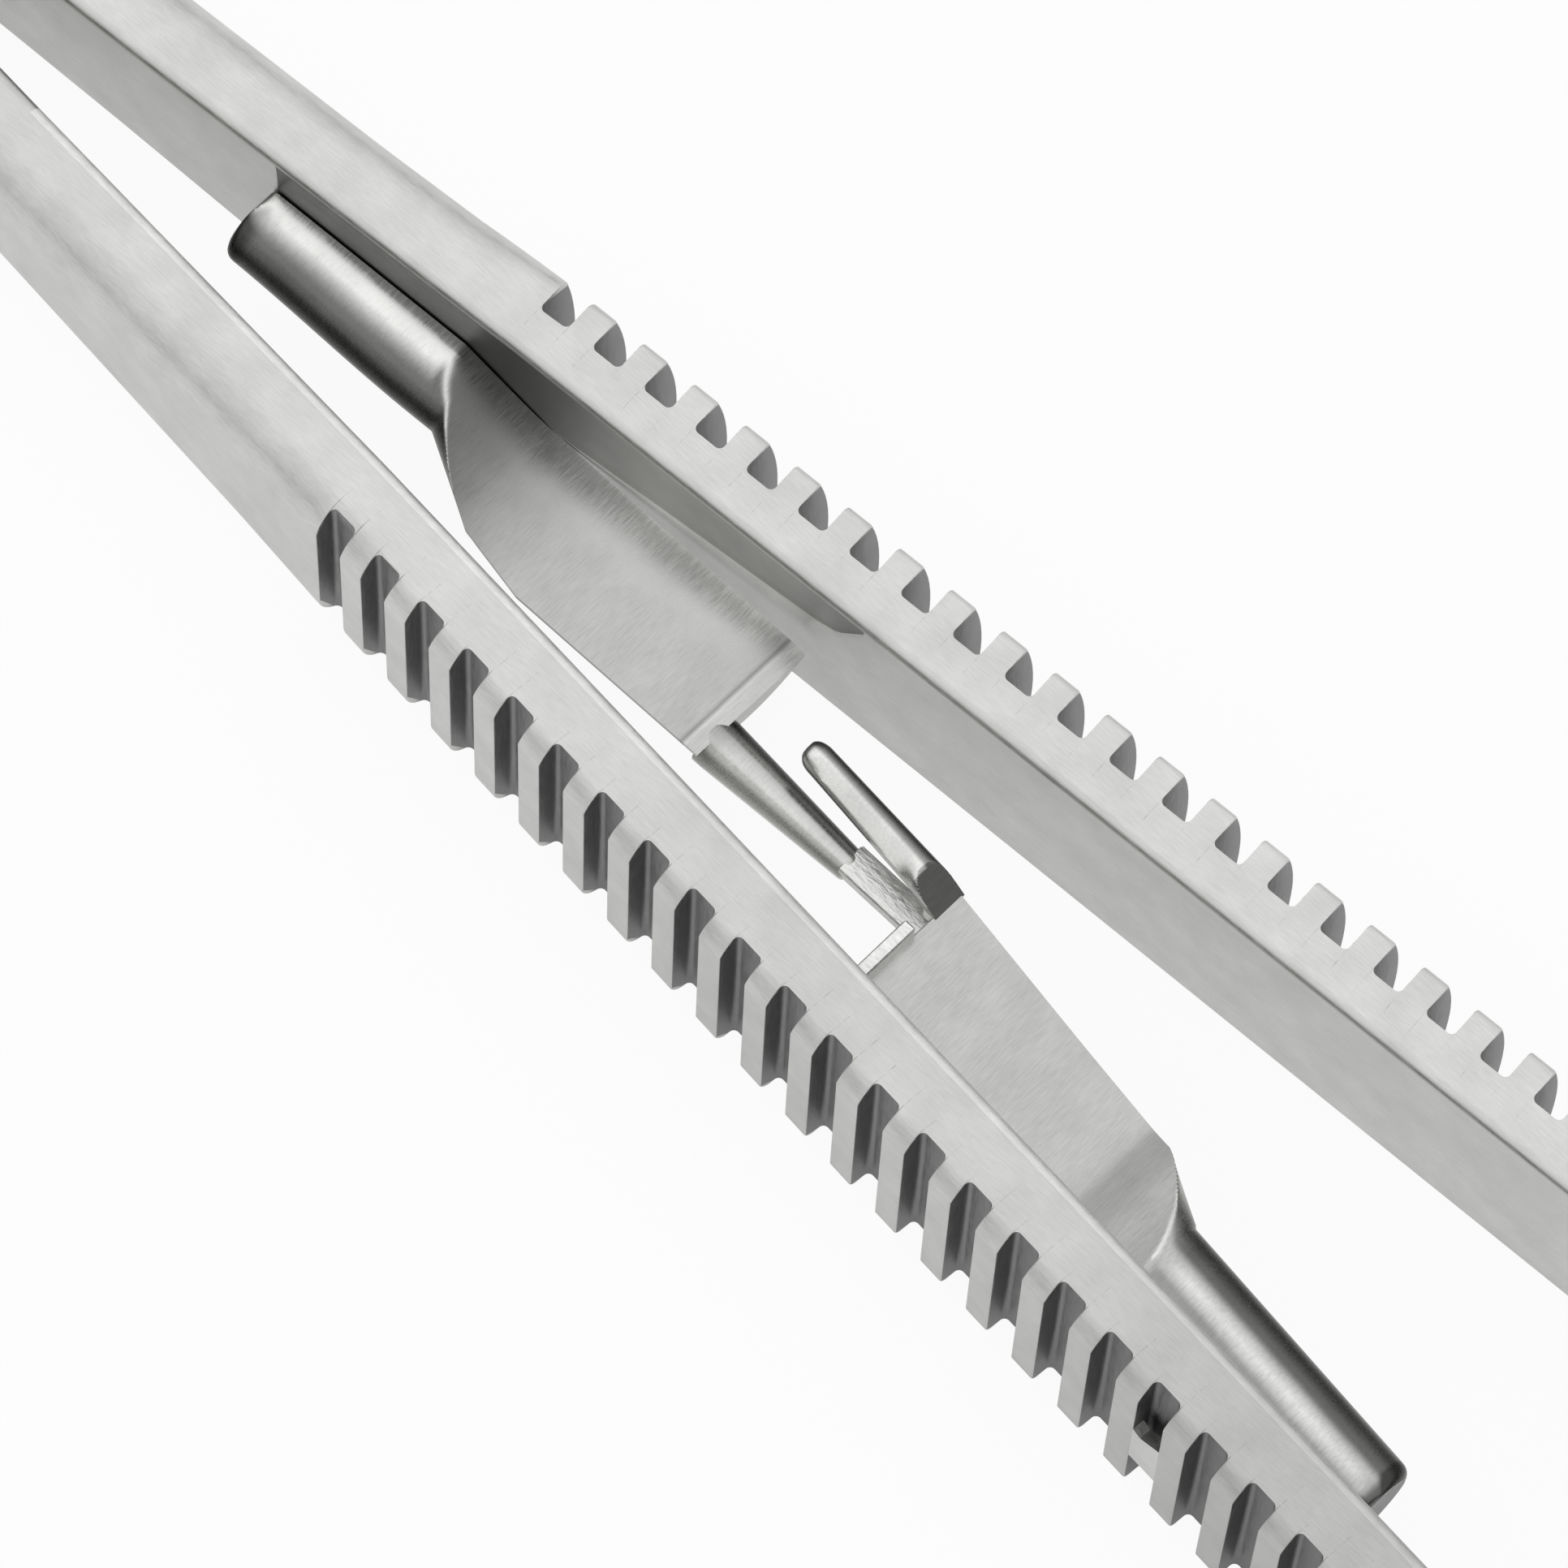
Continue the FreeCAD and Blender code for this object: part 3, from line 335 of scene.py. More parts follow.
# %% [markdown]
# ## Round the section
# At each column the section is a closed loop. A groove only clips this loop at its own depth, so the teeth
# keep the handle's form and the groove's floor meets the top face in a crisp edge.

# %% Section loops
CORNER_STEPS, SIDE_STEPS, TOP_STEPS = 7, 13, 20
SHARE = 1 - (1 - np.linspace(0, 1, TOP_STEPS)[1:]) ** 2


def outer_side(height, swell, side):
    """Outer side at a height: flat near, and far OUTER + swell - share (R - sqrt(R^2 - z^2))."""
    if side == NEAR:
        return OUTER + 0 * height
    return OUTER + swell - swell / SIDE_SWELL * (SIDE_RADIUS - np.sqrt(SIDE_RADIUS ** 2 - height ** 2))


def rim(half, inner, limit, lip, swell, side, size):
    """Top edge out to the clip: height = half - drop (1 - (1 - s^p)^(1/p)), s the share of the run."""
    run, drop, power = size
    corner = outer_side(half - drop, swell, side) - lip
    across = inner + SOFT + SHARE * (np.minimum(corner, limit) - inner - SOFT)
    share = np.clip((across - corner + run) / run, 0, 1)
    return across, half - drop * (1 - (1 - share ** power) ** (1 / power))


def inner_face(half, inner, along, side):
    """Inner side from below up to a band under the top edge, and the band, hollowed on the far handle."""
    top = half - SOFT
    border = top - np.interp(along, *BAND_AT.T) - BAND_GAP
    share = np.linspace(0, 1, SIDE_STEPS)[None]
    rise = np.concatenate([-top + share * (border + top), border + share[:, 1:] * (top - border)], axis=1)
    hollow = BAND_DEPTH * np.sqrt(1 - (2 * share[:, 1:] - 1) ** 2)
    across = np.concatenate([0 * share, hollow], axis=1)
    return inner + across * in_band(along, side), rise


def in_band(along, side):
    """True on the far handle between the ends of the dark band."""
    return (along > BAND_AT[0, 0]) & (along < BAND_AT[-1, 0]) & (side == FAR)


def section_loops(walk, side):
    """Loop of (across, height) per column: corner, top face, outer side, underside, corner, inner face."""
    along, depth = walk.T[:, :, None]
    half = np.interp(along, *HEIGHT_AT.T) / 2
    thin = np.interp(along, *THIN_AT.T)
    inner = INNER + thin * (ARM_THICK - LEAF_THICK)
    swell = np.interp(along, *SWELL_AT.T) * (side == FAR)
    limit = OUTER + swell - depth
    lip = np.minimum(depth, LIP_ROUND)
    upper, lower = [[np.interp(along, table[:, 0], table[:, k]) for k in (1, 2, 3)]
                    for table in EDGES_AT[side]]
    top, top_height = rim(half, inner, limit, lip, swell, side, upper)
    under, under_height = rim(half, inner, limit, lip, swell, side, lower)
    level = np.linspace(0, 1, SIDE_STEPS)[None, 1:-1]
    wall_height = top_height[:, -1:] * (1 - level) - under_height[:, -1:] * level
    wall = np.minimum(outer_side(wall_height, swell, side) - lip, limit)
    soft = SOFT * arc((1, -1), 1.0, 180, 90, CORNER_STEPS)
    face, face_height = inner_face(half, inner, along, side)
    across = [inner + soft[:, 0], top, wall, under[:, ::-1], inner + soft[::-1, 0], face[:, 1:-1]]
    height = [half + soft[:, 1], top_height, wall_height, -under_height[:, ::-1], -half - soft[::-1, 1],
              face_height[:, 1:-1]]
    return np.concatenate(across, axis=1), np.concatenate(height, axis=1)


across, height = section_loops(handle_walk(FAR), FAR)
print("points round a section:", across.shape[1], "and height", round(float(np.ptp(height)), 2), "mm")

# %% [markdown]
# ## From loops to a piece
# A grid of points becomes a mesh in one call, with quads between neighbouring loops. The finish of each face
# is a number, so one handle can carry satin steel, milled steel with painted shade, a band of painted shade
# and an edge of painted highlight without being cut apart.

# %% Piece from loops
# From this distance on, the near handle's inner edge carries the painted highlight steel.
HIGHLIGHT_FROM = 20.0


def finish_index(walk, columns, side):
    """0 satin, 1 outer side down in a groove, 2 band under the far inner edge, 3 the near inner edge."""
    # Finishes 1 and 2 carry painted shade, and finish 3 a painted highlight.
    column = np.arange(columns)
    down = np.minimum(walk[:-1, 1], walk[1:, 1]) > LIP_ROUND / 2
    first = CORNER_STEPS + len(SHARE) - 1
    grooves = down[:, None] & ((column >= first) & (column < first + SIDE_STEPS - 1))[None]
    along = walk[:-1, :1]
    band = (column > columns - SIDE_STEPS) & in_band(along, side)
    highlighted = (column < CORNER_STEPS - 1) & (along > HIGHLIGHT_FROM) & (side == NEAR)
    return np.where(grooves, 1, np.where(band, 2, np.where(highlighted, 3, 0))).ravel()


def along_handle(along, across, height, side):
    """Turn (along, across) by the half angle: x = a cos - c sin, y = side (a sin + c cos)."""
    x = along * math.cos(HALF_ANGLE) - across * math.sin(HALF_ANGLE)
    y = side * (along * math.sin(HALF_ANGLE) + across * math.cos(HALF_ANGLE))
    return np.stack([x, y, height], axis=-1)


def tube_faces(rows, columns, flip):
    """Quads between neighbouring loops, and one cap at each end, turned over where flip is true."""
    at = np.arange(rows * columns).reshape(rows, columns)
    turn = np.roll(at, -1, axis=1)
    quads = np.stack([at[:-1], at[1:], turn[1:], turn[:-1]], axis=-1).reshape(-1, 4).tolist()
    faces = quads + [at[0].tolist(), at[-1, ::-1].tolist()]
    return [face[::-1] for face in faces] if flip else faces


SAME_POINT, SHARP_ANGLE = 1e-7, math.radians(30)


def clean(mesh):
    """Merge doubles, point the faces outwards and shade smooth except over sharp edges."""
    work = bmesh.new()
    work.from_mesh(mesh)
    bmesh.ops.remove_doubles(work, verts=work.verts, dist=SAME_POINT)
    bmesh.ops.dissolve_degenerate(work, edges=work.edges, dist=SAME_POINT)
    bmesh.ops.recalc_face_normals(work, faces=work.faces)
    work.to_mesh(mesh)
    work.free()
    mesh.shade_smooth()
    mesh.set_sharp_from_angle(angle=SHARP_ANGLE)


def new_piece(name, points, faces, materials, finishes=(), painted_shade_and_highlight=None):
    """A mesh object at the origin from drawing points in mm: a finish per first face, paint per point."""
    mesh = bpy.data.meshes.new(name)
    mesh.from_pydata(placed(points).reshape(-1, 3), [], faces)
    for material in materials:
        mesh.materials.append(material)
    index = np.zeros(len(faces), np.int32)
    index[:len(finishes)] = finishes
    mesh.polygons.foreach_set("material_index", index)
    # The paint per point is painted shade and painted highlight.
    if painted_shade_and_highlight is not None:
        painted = mesh.attributes.new("painted_shade_and_highlight", "FLOAT", "POINT")
        painted.data.foreach_set("value", painted_shade_and_highlight.ravel().astype(np.float32))
    piece = bpy.data.objects.new(name, mesh)
    bpy.context.scene.collection.objects.link(piece)
    clean(mesh)
    return piece


print("faces of a short tube:", len(tube_faces(3, 4, flip=False)))

# %% [markdown]
# ## Joining the new handle to the solid's ends
# The grooved bar replaces only the middle of its node. The joint and the tail are good as they are, so a
# merged copy of the node is cut by a plane at each end of the bar, its holes are filled, and the three parts
# become one piece that stands for the node.

# %% Ends of the node


def rest_of_node(name, keep_low, keep_high, side):
    """Copy a node, merge it, and cut away what lies between two distances along the handle."""
    work = bmesh.new()
    work.from_mesh(nodes[name].data)
    bmesh.ops.remove_doubles(work, verts=work.verts, dist=SAME_POINT)
    parts = []
    for reach, outward in ((keep_low, 1), (keep_high, -1)):
        part = work.copy()
        along = Vector((math.cos(HALF_ANGLE), side * math.sin(HALF_ANGLE), 0)) * outward
        point = Vector(placed(along_handle(np.array(reach), np.array(0.0), np.array(0.0), side)))
        geometry = [*part.verts, *part.edges, *part.faces]
        cut = bmesh.ops.bisect_plane(part, geom=geometry, plane_co=point, plane_no=along, clear_outer=True)
        border = [item for item in cut["geom_cut"] if isinstance(item, bmesh.types.BMEdge)]
        bmesh.ops.holes_fill(part, edges=border)
        mesh = bpy.data.meshes.new(name + "_rest")
        part.to_mesh(mesh)
        part.free()
        parts.append(mesh)
    work.free()
    return parts


print("new bars from", HANDLE_START, "to", THINNED, "mm along the handles")

# %% Both handles
# Towards the tail the near handle is darkened a little: rows are distance and paint. The six stops were
# found in the same way as those of the dark band, so they fit this light and are not a measure of wear.
DULL_AT = np.array([[39.0, 0.0], [46.0, 0.08], [54.0, 0.06], [58.0, 0.1], [61.0, 0.17], [64.0, 0.23]])
for name, side, body in (("near_arm", NEAR, "near_half"), ("far_arm", FAR, "far_half")):
    walk = handle_walk(side)
    across, height = section_loops(walk, side)
    points = along_handle(walk[:, :1], across, height, side)
    handle = new_piece(name.replace("arm", "handle"), points, tube_faces(*across.shape, flip=side == FAR),
                       (satin, milled_shaded_steel, dark_steel, highlight_edge_steel), finish_index(walk, across.shape[1], side),
                       painted_shade_and_highlight=(np.interp(walk[:, :1], *DULL_AT.T) + 0 * across) * (side == NEAR))
    work = bmesh.new()
    work.from_mesh(handle.data)
    for mesh in rest_of_node(name, HANDLE_START, THINNED, side):
        work.from_mesh(mesh)
    work.to_mesh(handle.data)
    work.free()
    handle.data.shade_smooth()
    handle.data.set_sharp_from_angle(angle=SHARP_ANGLE)
    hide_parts(name)
    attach(handle, body)
    print(handle.name, len(handle.data.polygons), "faces")

# %% [markdown]
# ## Metal left in one groove
# The picture shows metal left over the lower half of one near groove. What lies behind it can't be seen. It
# could be built into the walk of the grooves, but a thin plate of its own leaves their loops as they are. It
# is set just under the outer side from tooth to tooth, with a sag along its top edge.

# %% Web
WEB_LOW = np.array([61.25, OUTER - 0.35, -1.3])
WEB_HIGH = np.array([62.9, OUTER - 0.02, 1.0])
EDGE_SAG = (0.1, 0.5, 0.0)
reach, sag = np.linspace(WEB_LOW[0], WEB_HIGH[0], 3), np.array(EDGE_SAG)
thick = np.array([WEB_LOW[1], WEB_HIGH[1], WEB_HIGH[1], WEB_LOW[1]])
ones = np.ones((3, 1))
top = (WEB_HIGH[2] - sag)[:, None]
tall = np.concatenate([WEB_LOW[2] * ones, WEB_LOW[2] * ones, top, top], axis=1)
points = along_handle(reach[:, None] + 0 * tall, thick[None] + 0 * tall, tall, NEAR)
web = new_piece("groove_web", points, tube_faces(3, 4, flip=False), (satin,))
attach(web, "near_half")
print("web of", np.round(WEB_HIGH - WEB_LOW, 2).tolist(), "mm")

# %% [markdown]
# ## Catch and keeper
# Both are forged and then ground by hand: a rounded root along the handle, a scoop, and a thin plate. They
# could be sculpted, but each is swept along X as loops between the handle and a free edge. The top is the
# lower of the scoop and a rounded shoulder, so the arched edge between them comes by itself.
#
# The paint on catch, keeper, pin and prong is painted shade and painted highlight. Its dark sides, and the
# bright lines that are below nought, lie where the photograph shows shade and shine, to match the picture.
# They don't depend on the camera, but they don't move with the light either: from other sides they stay where
# they are painted.

# %% Forged sweeps
ROOT_HALF = 1.0
ACROSS_STEPS, ROUND_STEPS = 44, 31
ACROSS = np.sin(np.linspace(0, math.pi / 2, ACROSS_STEPS))[None]


def arm_face(x):
    """Y of a handle's inner face over X: (x - crossing) tan(half angle)."""
    return (x - CROSSING) * math.tan(HALF_ANGLE)


def shoulder_height(near):
    """Height of the rounded shoulder: e^2 = 1 - (1 - near)^2, in half heights of the root."""
    return ROOT_HALF * np.sqrt(np.clip(1 - (1 - near) ** 2, 0, 1))


def forged(x, arm_edge, free_edge, top, under, shoulder):
    """Loops between two edges: top = min(scoop, e) and underside = max(-under, -e), with e the shoulder.

    Also gives near, the distance from the free edge as a share of the shoulder.
    """
    y = arm_edge + (free_edge - arm_edge) * ACROSS
    near = np.clip(np.abs(free_edge - y) / shoulder, 0, 1)
    edge = shoulder_height(near)
    low = np.maximum(-under, -edge)
    high = np.maximum(np.minimum(top, edge), low)
    loop_y = np.concatenate([y, y[:, ::-1]], axis=1)
    loop_z = np.concatenate([high, low[:, ::-1]], axis=1)
    return np.stack([x + 0 * loop_y, loop_y, loop_z], axis=-1), near


def rounded_end(x, end, radius):
    """Share of full size near an end: sqrt(1 - (1 - distance / radius)^2), never under a fifth."""
    near = np.clip(np.abs(x - end) / radius, 0, 1)
    return np.maximum(np.sqrt(1 - (1 - near) ** 2), 0.2)


def half_round(x, centre, radius, base):
    """Upper half circles of a radius over X, closed by a flat base."""
    turn = np.radians(np.linspace(0, 180, ROUND_STEPS))[None]
    return np.stack([x + 0 * turn, centre + radius * np.cos(turn), base + radius * np.sin(turn)], axis=-1)


def eased_bar(low, high, ease):
    """Loops of a small ground bar along X whose edges are eased a little."""
    (x0, y0, z0), (x1, y1, z1) = low, high
    rows = []
    for x, inset in ((x0, ease), (x0 + ease, 0.0), (x1 - ease, 0.0), (x1, ease)):
        ya, yb, za, zb = y0 + inset, y1 - inset, z0 + inset, z1 - inset
        rows.append([(x, ya + ease, za), (x, yb - ease, za), (x, yb, za + ease), (x, yb, zb - ease),
                     (x, yb - ease, zb), (x, ya + ease, zb), (x, ya, zb - ease), (x, ya, za + ease)])
    return np.array(rows)


print("inner face at X 40:", round(arm_face(40.0), 3), "mm from the middle")

# %% Paint and joining helpers


def blend_step(x, start, end):
    """Smooth step t^2 (3 - 2t) from 0 at the start to 1 at the end."""
    share = np.clip((x - start) / (end - start), 0, 1)
    return share ** 2 * (3 - 2 * share)


def streak_at(x, middle, width):
    """Bell exp(-((x - middle) / width)^2), 1 at the middle."""
    return np.exp(-((x - middle) / width) ** 2)


def both_faces(painted_shade_and_highlight):
    """Paint of the top repeated, backwards, for the underside."""
    return np.concatenate([painted_shade_and_highlight, painted_shade_and_highlight[:, ::-1]], axis=1)


def swept(name, loops, material, flip=False, painted_shade_and_highlight=None):
    """A piece from loops of shape (rows, columns, 3)."""
    rows, columns = loops.shape[:2]
    return new_piece(name, loops, tube_faces(rows, columns, flip), (material,), painted_shade_and_highlight=painted_shade_and_highlight)


def joined(name, parts, node, body):
    """Join pieces into one object that stands for a node and rides a body."""
    with bpy.context.temp_override(active_object=parts[0], selected_editable_objects=parts,
                                   selected_objects=parts):
        bpy.ops.object.join()
    whole = parts[0]
    whole.name = name
    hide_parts(node)
    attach(whole, body)
    print(name, len(whole.data.polygons), "faces")


print("halfway through a step:", float(blend_step(0.5, 0, 1)))

# %% [markdown]
# ## Catch
# The catch's root is a bar about 2 mm thick with a well rounded free side. Its scoop runs out into a thin
# plate with a belly below and a small bevel along its end. One sweep makes all of it, so the grain and the
# paint run on without a seam.

# %% Catch body
ROOT_START, ROOT_END, SCOOP, PLATE_END, PLATE_THICK = 25.2, 31.4, 2.9, 42.5, 0.75
WAIST, TURN_OUT, LIP_START = ROOT_END + SCOOP, 32.1, 42.15
EDGE_THIN, END_ROUND = 0.15, 0.3
x = np.concatenate([ROOT_START + END_ROUND * np.linspace(0, 1, 8) ** 2, np.linspace(25.6, 31.3, 30),
                    np.linspace(ROOT_END, 36.6, 70), np.linspace(36.7, 41.8, 20),
                    np.linspace(41.85, PLATE_END, 14)])[:, None]
end = rounded_end(x, ROOT_START, END_ROUND)
width = 1.7 + 0.2 * blend_step(x, ROOT_START, ROOT_END)
plate_edge = np.interp(x, [TURN_OUT, 34.52, 36.6, PLATE_END], [arm_face(TURN_OUT) - 1.9, -1.09, -1.45, -1.30])
free = np.where(x < TURN_OUT, arm_face(x) - width * (0.86 + 0.14 * end), plate_edge)
arm_side = np.where(x < WAIST, arm_face(x), np.interp(x, [WAIST, PLATE_END], [arm_face(WAIST), 2.38]))
shoulder = 1.8 + (0.06 - 1.8) * blend_step(x, 32.2, 35.5)
dip = np.clip((x - ROOT_END) / SCOOP, 0, 1)
bevel = 0.12 * np.clip((x - LIP_START) / (PLATE_END - LIP_START), 0, 1)
scoop = np.minimum(ROOT_HALF * (0.75 + 0.25 * end), (1 - dip) ** 1.5 * (1 + 0.35 * dip)) - bevel
thinning = blend_step(x, ROOT_END, 35.0)
plate_belly = EDGE_THIN + (PLATE_THICK - EDGE_THIN) * (1 - (2 * ACROSS - 1) ** 2)
belly = (1 - thinning) * ROOT_HALF + thinning * plate_belly
loops, near = forged(x, arm_side, free, scoop, belly, shoulder)
print("catch body", np.ptp(loops.reshape(-1, 3), axis=0).round(2), "mm")

# %% Catch paint: painted shade on the sides, scoop, end and plate, painted highlights on the ridge, gleam, lip and by the arm
side_dark = 0.66 * (1 - blend_step(near, 0.32, 0.6)) * (1 - blend_step(x, 32.0, 34.0))
scoop_dark = 0.68 * blend_step(x, 31.3, 31.5) * (1 - blend_step(x, 32.4, 37.2))
end_dark = 0.35 * (1 - blend_step(x, 25.25, 25.9))
plate_dark = 0.12 * blend_step(x, 33.0, 37.0) + 0.35 * streak_at(x, 42.0, 0.05)
gleam = 0.4 * streak_at(near, 0.68, 0.1) * blend_step(x, 25.4, 26.2) * (1 - blend_step(x, 31.0, 32.0))
by_arm_highlight = 0.3 * blend_step(1 - ACROSS, 0.5, 1.0) * blend_step(x, 33.5, 35.5) * (1 - blend_step(x, 41.0, 42.0))
lip_bright = 0.25 * blend_step(x, 42.05, 42.12)
raised = loops[:, :ACROSS_STEPS, 2] > EDGE_THIN
ridge_highlight = 0.9 * streak_at(scoop, shoulder_height(near), 0.045) * raised * (near < 0.9)
painted_shade_and_highlight = np.maximum(side_dark, scoop_dark) + end_dark + plate_dark - by_arm_highlight - gleam - lip_bright - ridge_highlight
catch = swept("catch_body", loops, catch_steel, painted_shade_and_highlight=both_faces(np.clip(painted_shade_and_highlight, -0.45, 0.85)))
print("catch paint before its limits from", painted_shade_and_highlight.min().round(2), "to", painted_shade_and_highlight.max().round(2))

# %% [markdown]
# ## Pin and tongue
# A tapered half-round pin grows out of the plate's end, and a thin tongue, torn by the grinding wheel, goes
# on from it. Half circles over X make the pin. Its far side and its two ends carry painted shade and its near
# side a painted highlight, as the picture has them.

# %% Pin and tongue
PIN_END, PIN_ROUND = 47.0, 0.12
pin_x = np.concatenate([np.linspace(42.3, 46.8, 16),
                        PIN_END - PIN_ROUND * np.linspace(1, 0, 5) ** 2])[:, None]
pin_end = rounded_end(pin_x, PIN_END, PIN_ROUND)
radius = np.interp(pin_x, [PLATE_END, PIN_END], [0.71, 0.42]) * (0.8 + 0.2 * pin_end)
round_share = np.linspace(0, 1, ROUND_STEPS)[None]
far_dark = 0.66 * (1 - blend_step(round_share, 0.22, 0.46))
near_bright = 0.45 * blend_step(round_share, 0.5, 0.7)
end_dark = 0.3 * (1 - blend_step(pin_x, 42.4, 43.2)) + 0.6 * blend_step(pin_x, 46.95, PIN_END)
pin = swept("catch_pin", half_round(pin_x, -0.53, radius, -PLATE_THICK), catch_steel,
            painted_shade_and_highlight=np.clip(far_dark - near_bright + end_dark, -0.4, 0.85))
tongue = swept("catch_tongue", eased_bar((46.8, -0.9, -0.75), (49.3, -0.05, -0.35), 0.04), rough_steel)
joined("thumb_catch", [catch, pin, tongue], "catch_hook", "far_half")

# %% [markdown]
# ## Keeper
# The keeper mirrors the catch on the near handle. Its plate is thin on top and rises over a short ramp to the
# root. A narrow slit parts the plate from the handle, so the arm-side edge stands off by the slit's width.

# %% Keeper body
PLATE_START, NOTCH_END, KEEPER_WAIST, KEEPER_ROOT, KEEPER_END = 49.1, 49.45, 56.7, 59.1, 66.75
PLATE_TOP, PLATE_LOW, SLIT = 0.30, 0.20, 0.22
x = np.concatenate([np.linspace(NOTCH_END, 56.6, 24), [KEEPER_WAIST], np.linspace(56.75, 60.5, 50),
                    np.linspace(60.7, 66.3, 24), KEEPER_END - 0.35 * np.linspace(1, 0, 8) ** 2])[:, None]
end = rounded_end(x, KEEPER_END, END_ROUND)
arm_side = SLIT * (x <= KEEPER_WAIST) - arm_face(x)
width = np.interp(x, [KEEPER_WAIST, KEEPER_END], [2.4, 2.05])
plate_edge = np.interp(x, [PLATE_START, 54.3, 57.4, KEEPER_ROOT],
                       [0.56, -0.2, -0.62, 2.36 - arm_face(KEEPER_ROOT)])
free = np.where(x < KEEPER_ROOT, plate_edge, width * (0.86 + 0.14 * end) - arm_face(x))
shoulder = 0.07 + (1.9 - 0.07) * blend_step(x, 57.2, 59.4)
ramp = np.clip((x - KEEPER_WAIST) / (KEEPER_ROOT - KEEPER_WAIST), 0, 1)
scoop = np.minimum(ROOT_HALF * (0.75 + 0.25 * end), PLATE_TOP + (ROOT_HALF - PLATE_TOP) * ramp ** 1.4)
under = PLATE_LOW + (ROOT_HALF - PLATE_LOW) * ramp
loops, near = forged(x, arm_side, free, scoop, under, shoulder)
print("keeper body", np.ptp(loops.reshape(-1, 3), axis=0).round(2), "mm")

# %% Keeper paint: painted shade on the side, strip, scoop, rear end and plate, painted highlights on the ridge and gleam
side_dark = 0.72 * (1 - blend_step(near, 0.38, 0.54)) * blend_step(x, 57.8, 59.6)
strip_dark = 0.42 * blend_step(near, 0.74, 0.86) * blend_step(x, 59.0, 59.4)
scoop_dark = 0.26 * blend_step(x, 56.5, 56.9) * (1 - blend_step(x, 57.2, 58.2))
end_dark = 0.75 * blend_step(x, 66.3, 66.6)
plate_dark = 0.10 * (1 - blend_step(x, 57.5, 58.6))
gleam = 0.4 * streak_at(near, 0.64, 0.09) * blend_step(x, 59.2, 60.0) * (1 - blend_step(x, 65.8, 66.3))
on_ramp = (x > 57.4) & (x < KEEPER_ROOT)
ridge_highlight = 0.6 * streak_at(scoop, shoulder_height(near), 0.03) * on_ramp * (near < 0.9)
painted_shade_and_highlight = np.maximum(side_dark, strip_dark) + scoop_dark + end_dark + plate_dark - gleam - ridge_highlight
keeper = swept("keeper_body", loops, catch_steel, flip=True, painted_shade_and_highlight=both_faces(np.clip(painted_shade_and_highlight, -0.45, 0.88)))
print("keeper paint before its limits from", painted_shade_and_highlight.min().round(2), "to", painted_shade_and_highlight.max().round(2))

# %% [markdown]
# ## Prong, head and lip
# A round-topped prong reaches forward over the catch pin. Its section is a rounded square, a superellipse,
# with a flat ground on its inner shoulder, which carries a painted highlight. At the rear a wedge is cut down
# to the plate, and it carries painted shade, as the picture has it. A short head and a ground lip close the
# plate's front.

# %% Prong section
PRONG_TIP, PRONG_REAR, PRONG_HEIGHT, PRONG_FOOT = 44.45, 49.55, 0.9, 0.05
TIP_ROUND, SQUARENESS, FLAT_LEAN, PRONG_STEPS = 0.4, 2.6, math.radians(58), 49
WEDGE_START, WEDGE_RUN, TAPER_START = 48.5, 1.05, 44.83
x = np.concatenate([PRONG_TIP + TIP_ROUND * np.linspace(0, 1, 9) ** 2, np.linspace(44.95, 48.4, 24),
                    np.linspace(48.45, PRONG_REAR, 28)])[:, None]
tip = rounded_end(x, PRONG_TIP, TIP_ROUND)
half_width = np.interp(x, [TAPER_START, PRONG_REAR], [0.38, 0.475]) * (0.55 + 0.45 * tip)
middle_y = np.interp(x, [TAPER_START, PRONG_REAR], [0.51, 0.085])
half_high = PRONG_HEIGHT / 2 * (0.65 + 0.35 * tip)
turn = np.linspace(0, 2 * math.pi, PRONG_STEPS)[None, :-1]
cos, sin = np.cos(turn), np.sin(turn)
y = half_width * np.sign(cos) * np.abs(cos) ** (2 / SQUARENESS)
z = half_high * np.sign(sin) * np.abs(sin) ** (2 / SQUARENESS)
print("prong", round(PRONG_REAR - PRONG_TIP, 2), "mm long")

# %% Prong flat, wedge and paint: painted shade on the far side, wedge and tip, a painted highlight on the flat
beyond_flat = np.maximum(z * math.sin(FLAT_LEAN) - y * math.cos(FLAT_LEAN) - 0.8 * half_high, 0)
over = beyond_flat * blend_step(x, 44.6, 45.2) * (1 - blend_step(x, 48.0, 48.6))
y, z = y + over * math.cos(FLAT_LEAN), z - over * math.sin(FLAT_LEAN)
top = PRONG_FOOT + PRONG_HEIGHT
wedge = top - np.clip((x - WEDGE_START) / WEDGE_RUN, 0, 1) * (top - PLATE_TOP + 0.02)
high = PRONG_FOOT + PRONG_HEIGHT / 2 + z
cut = high > wedge
points = np.stack([x + 0 * y, middle_y + y, np.minimum(high, wedge)], axis=-1)
far_dark = (0.18 + 0.5 * blend_step(cos, -0.1, 0.5)) * (1 - cut)
tip_dark = 0.15 * (1 - blend_step(x, PRONG_TIP, 44.8))
painted_shade_and_highlight = far_dark + 0.78 * cut + tip_dark - 0.6 * (over > 0)
prong = swept("keeper_prong", points, catch_steel, flip=True, painted_shade_and_highlight=np.clip(painted_shade_and_highlight, -0.4, 0.85))
print("points cut by the wedge:", int(cut.sum()))

# %% Head and lip
LIP_SIDE = SLIT - arm_face(PLATE_START)
head = swept("keeper_head", eased_bar((PLATE_START, -0.39, -PLATE_LOW),
                                      (NOTCH_END + 0.02, 0.55, PLATE_TOP), 0.03), catch_steel)
lip = swept("keeper_lip", eased_bar((PLATE_START, LIP_SIDE, -PLATE_LOW), (NOTCH_END, -1.0, 0.75), 0.04),
            rough_steel)
joined("thumb_keeper", [keeper, prong, head, lip], "keeper_fork", "near_half")

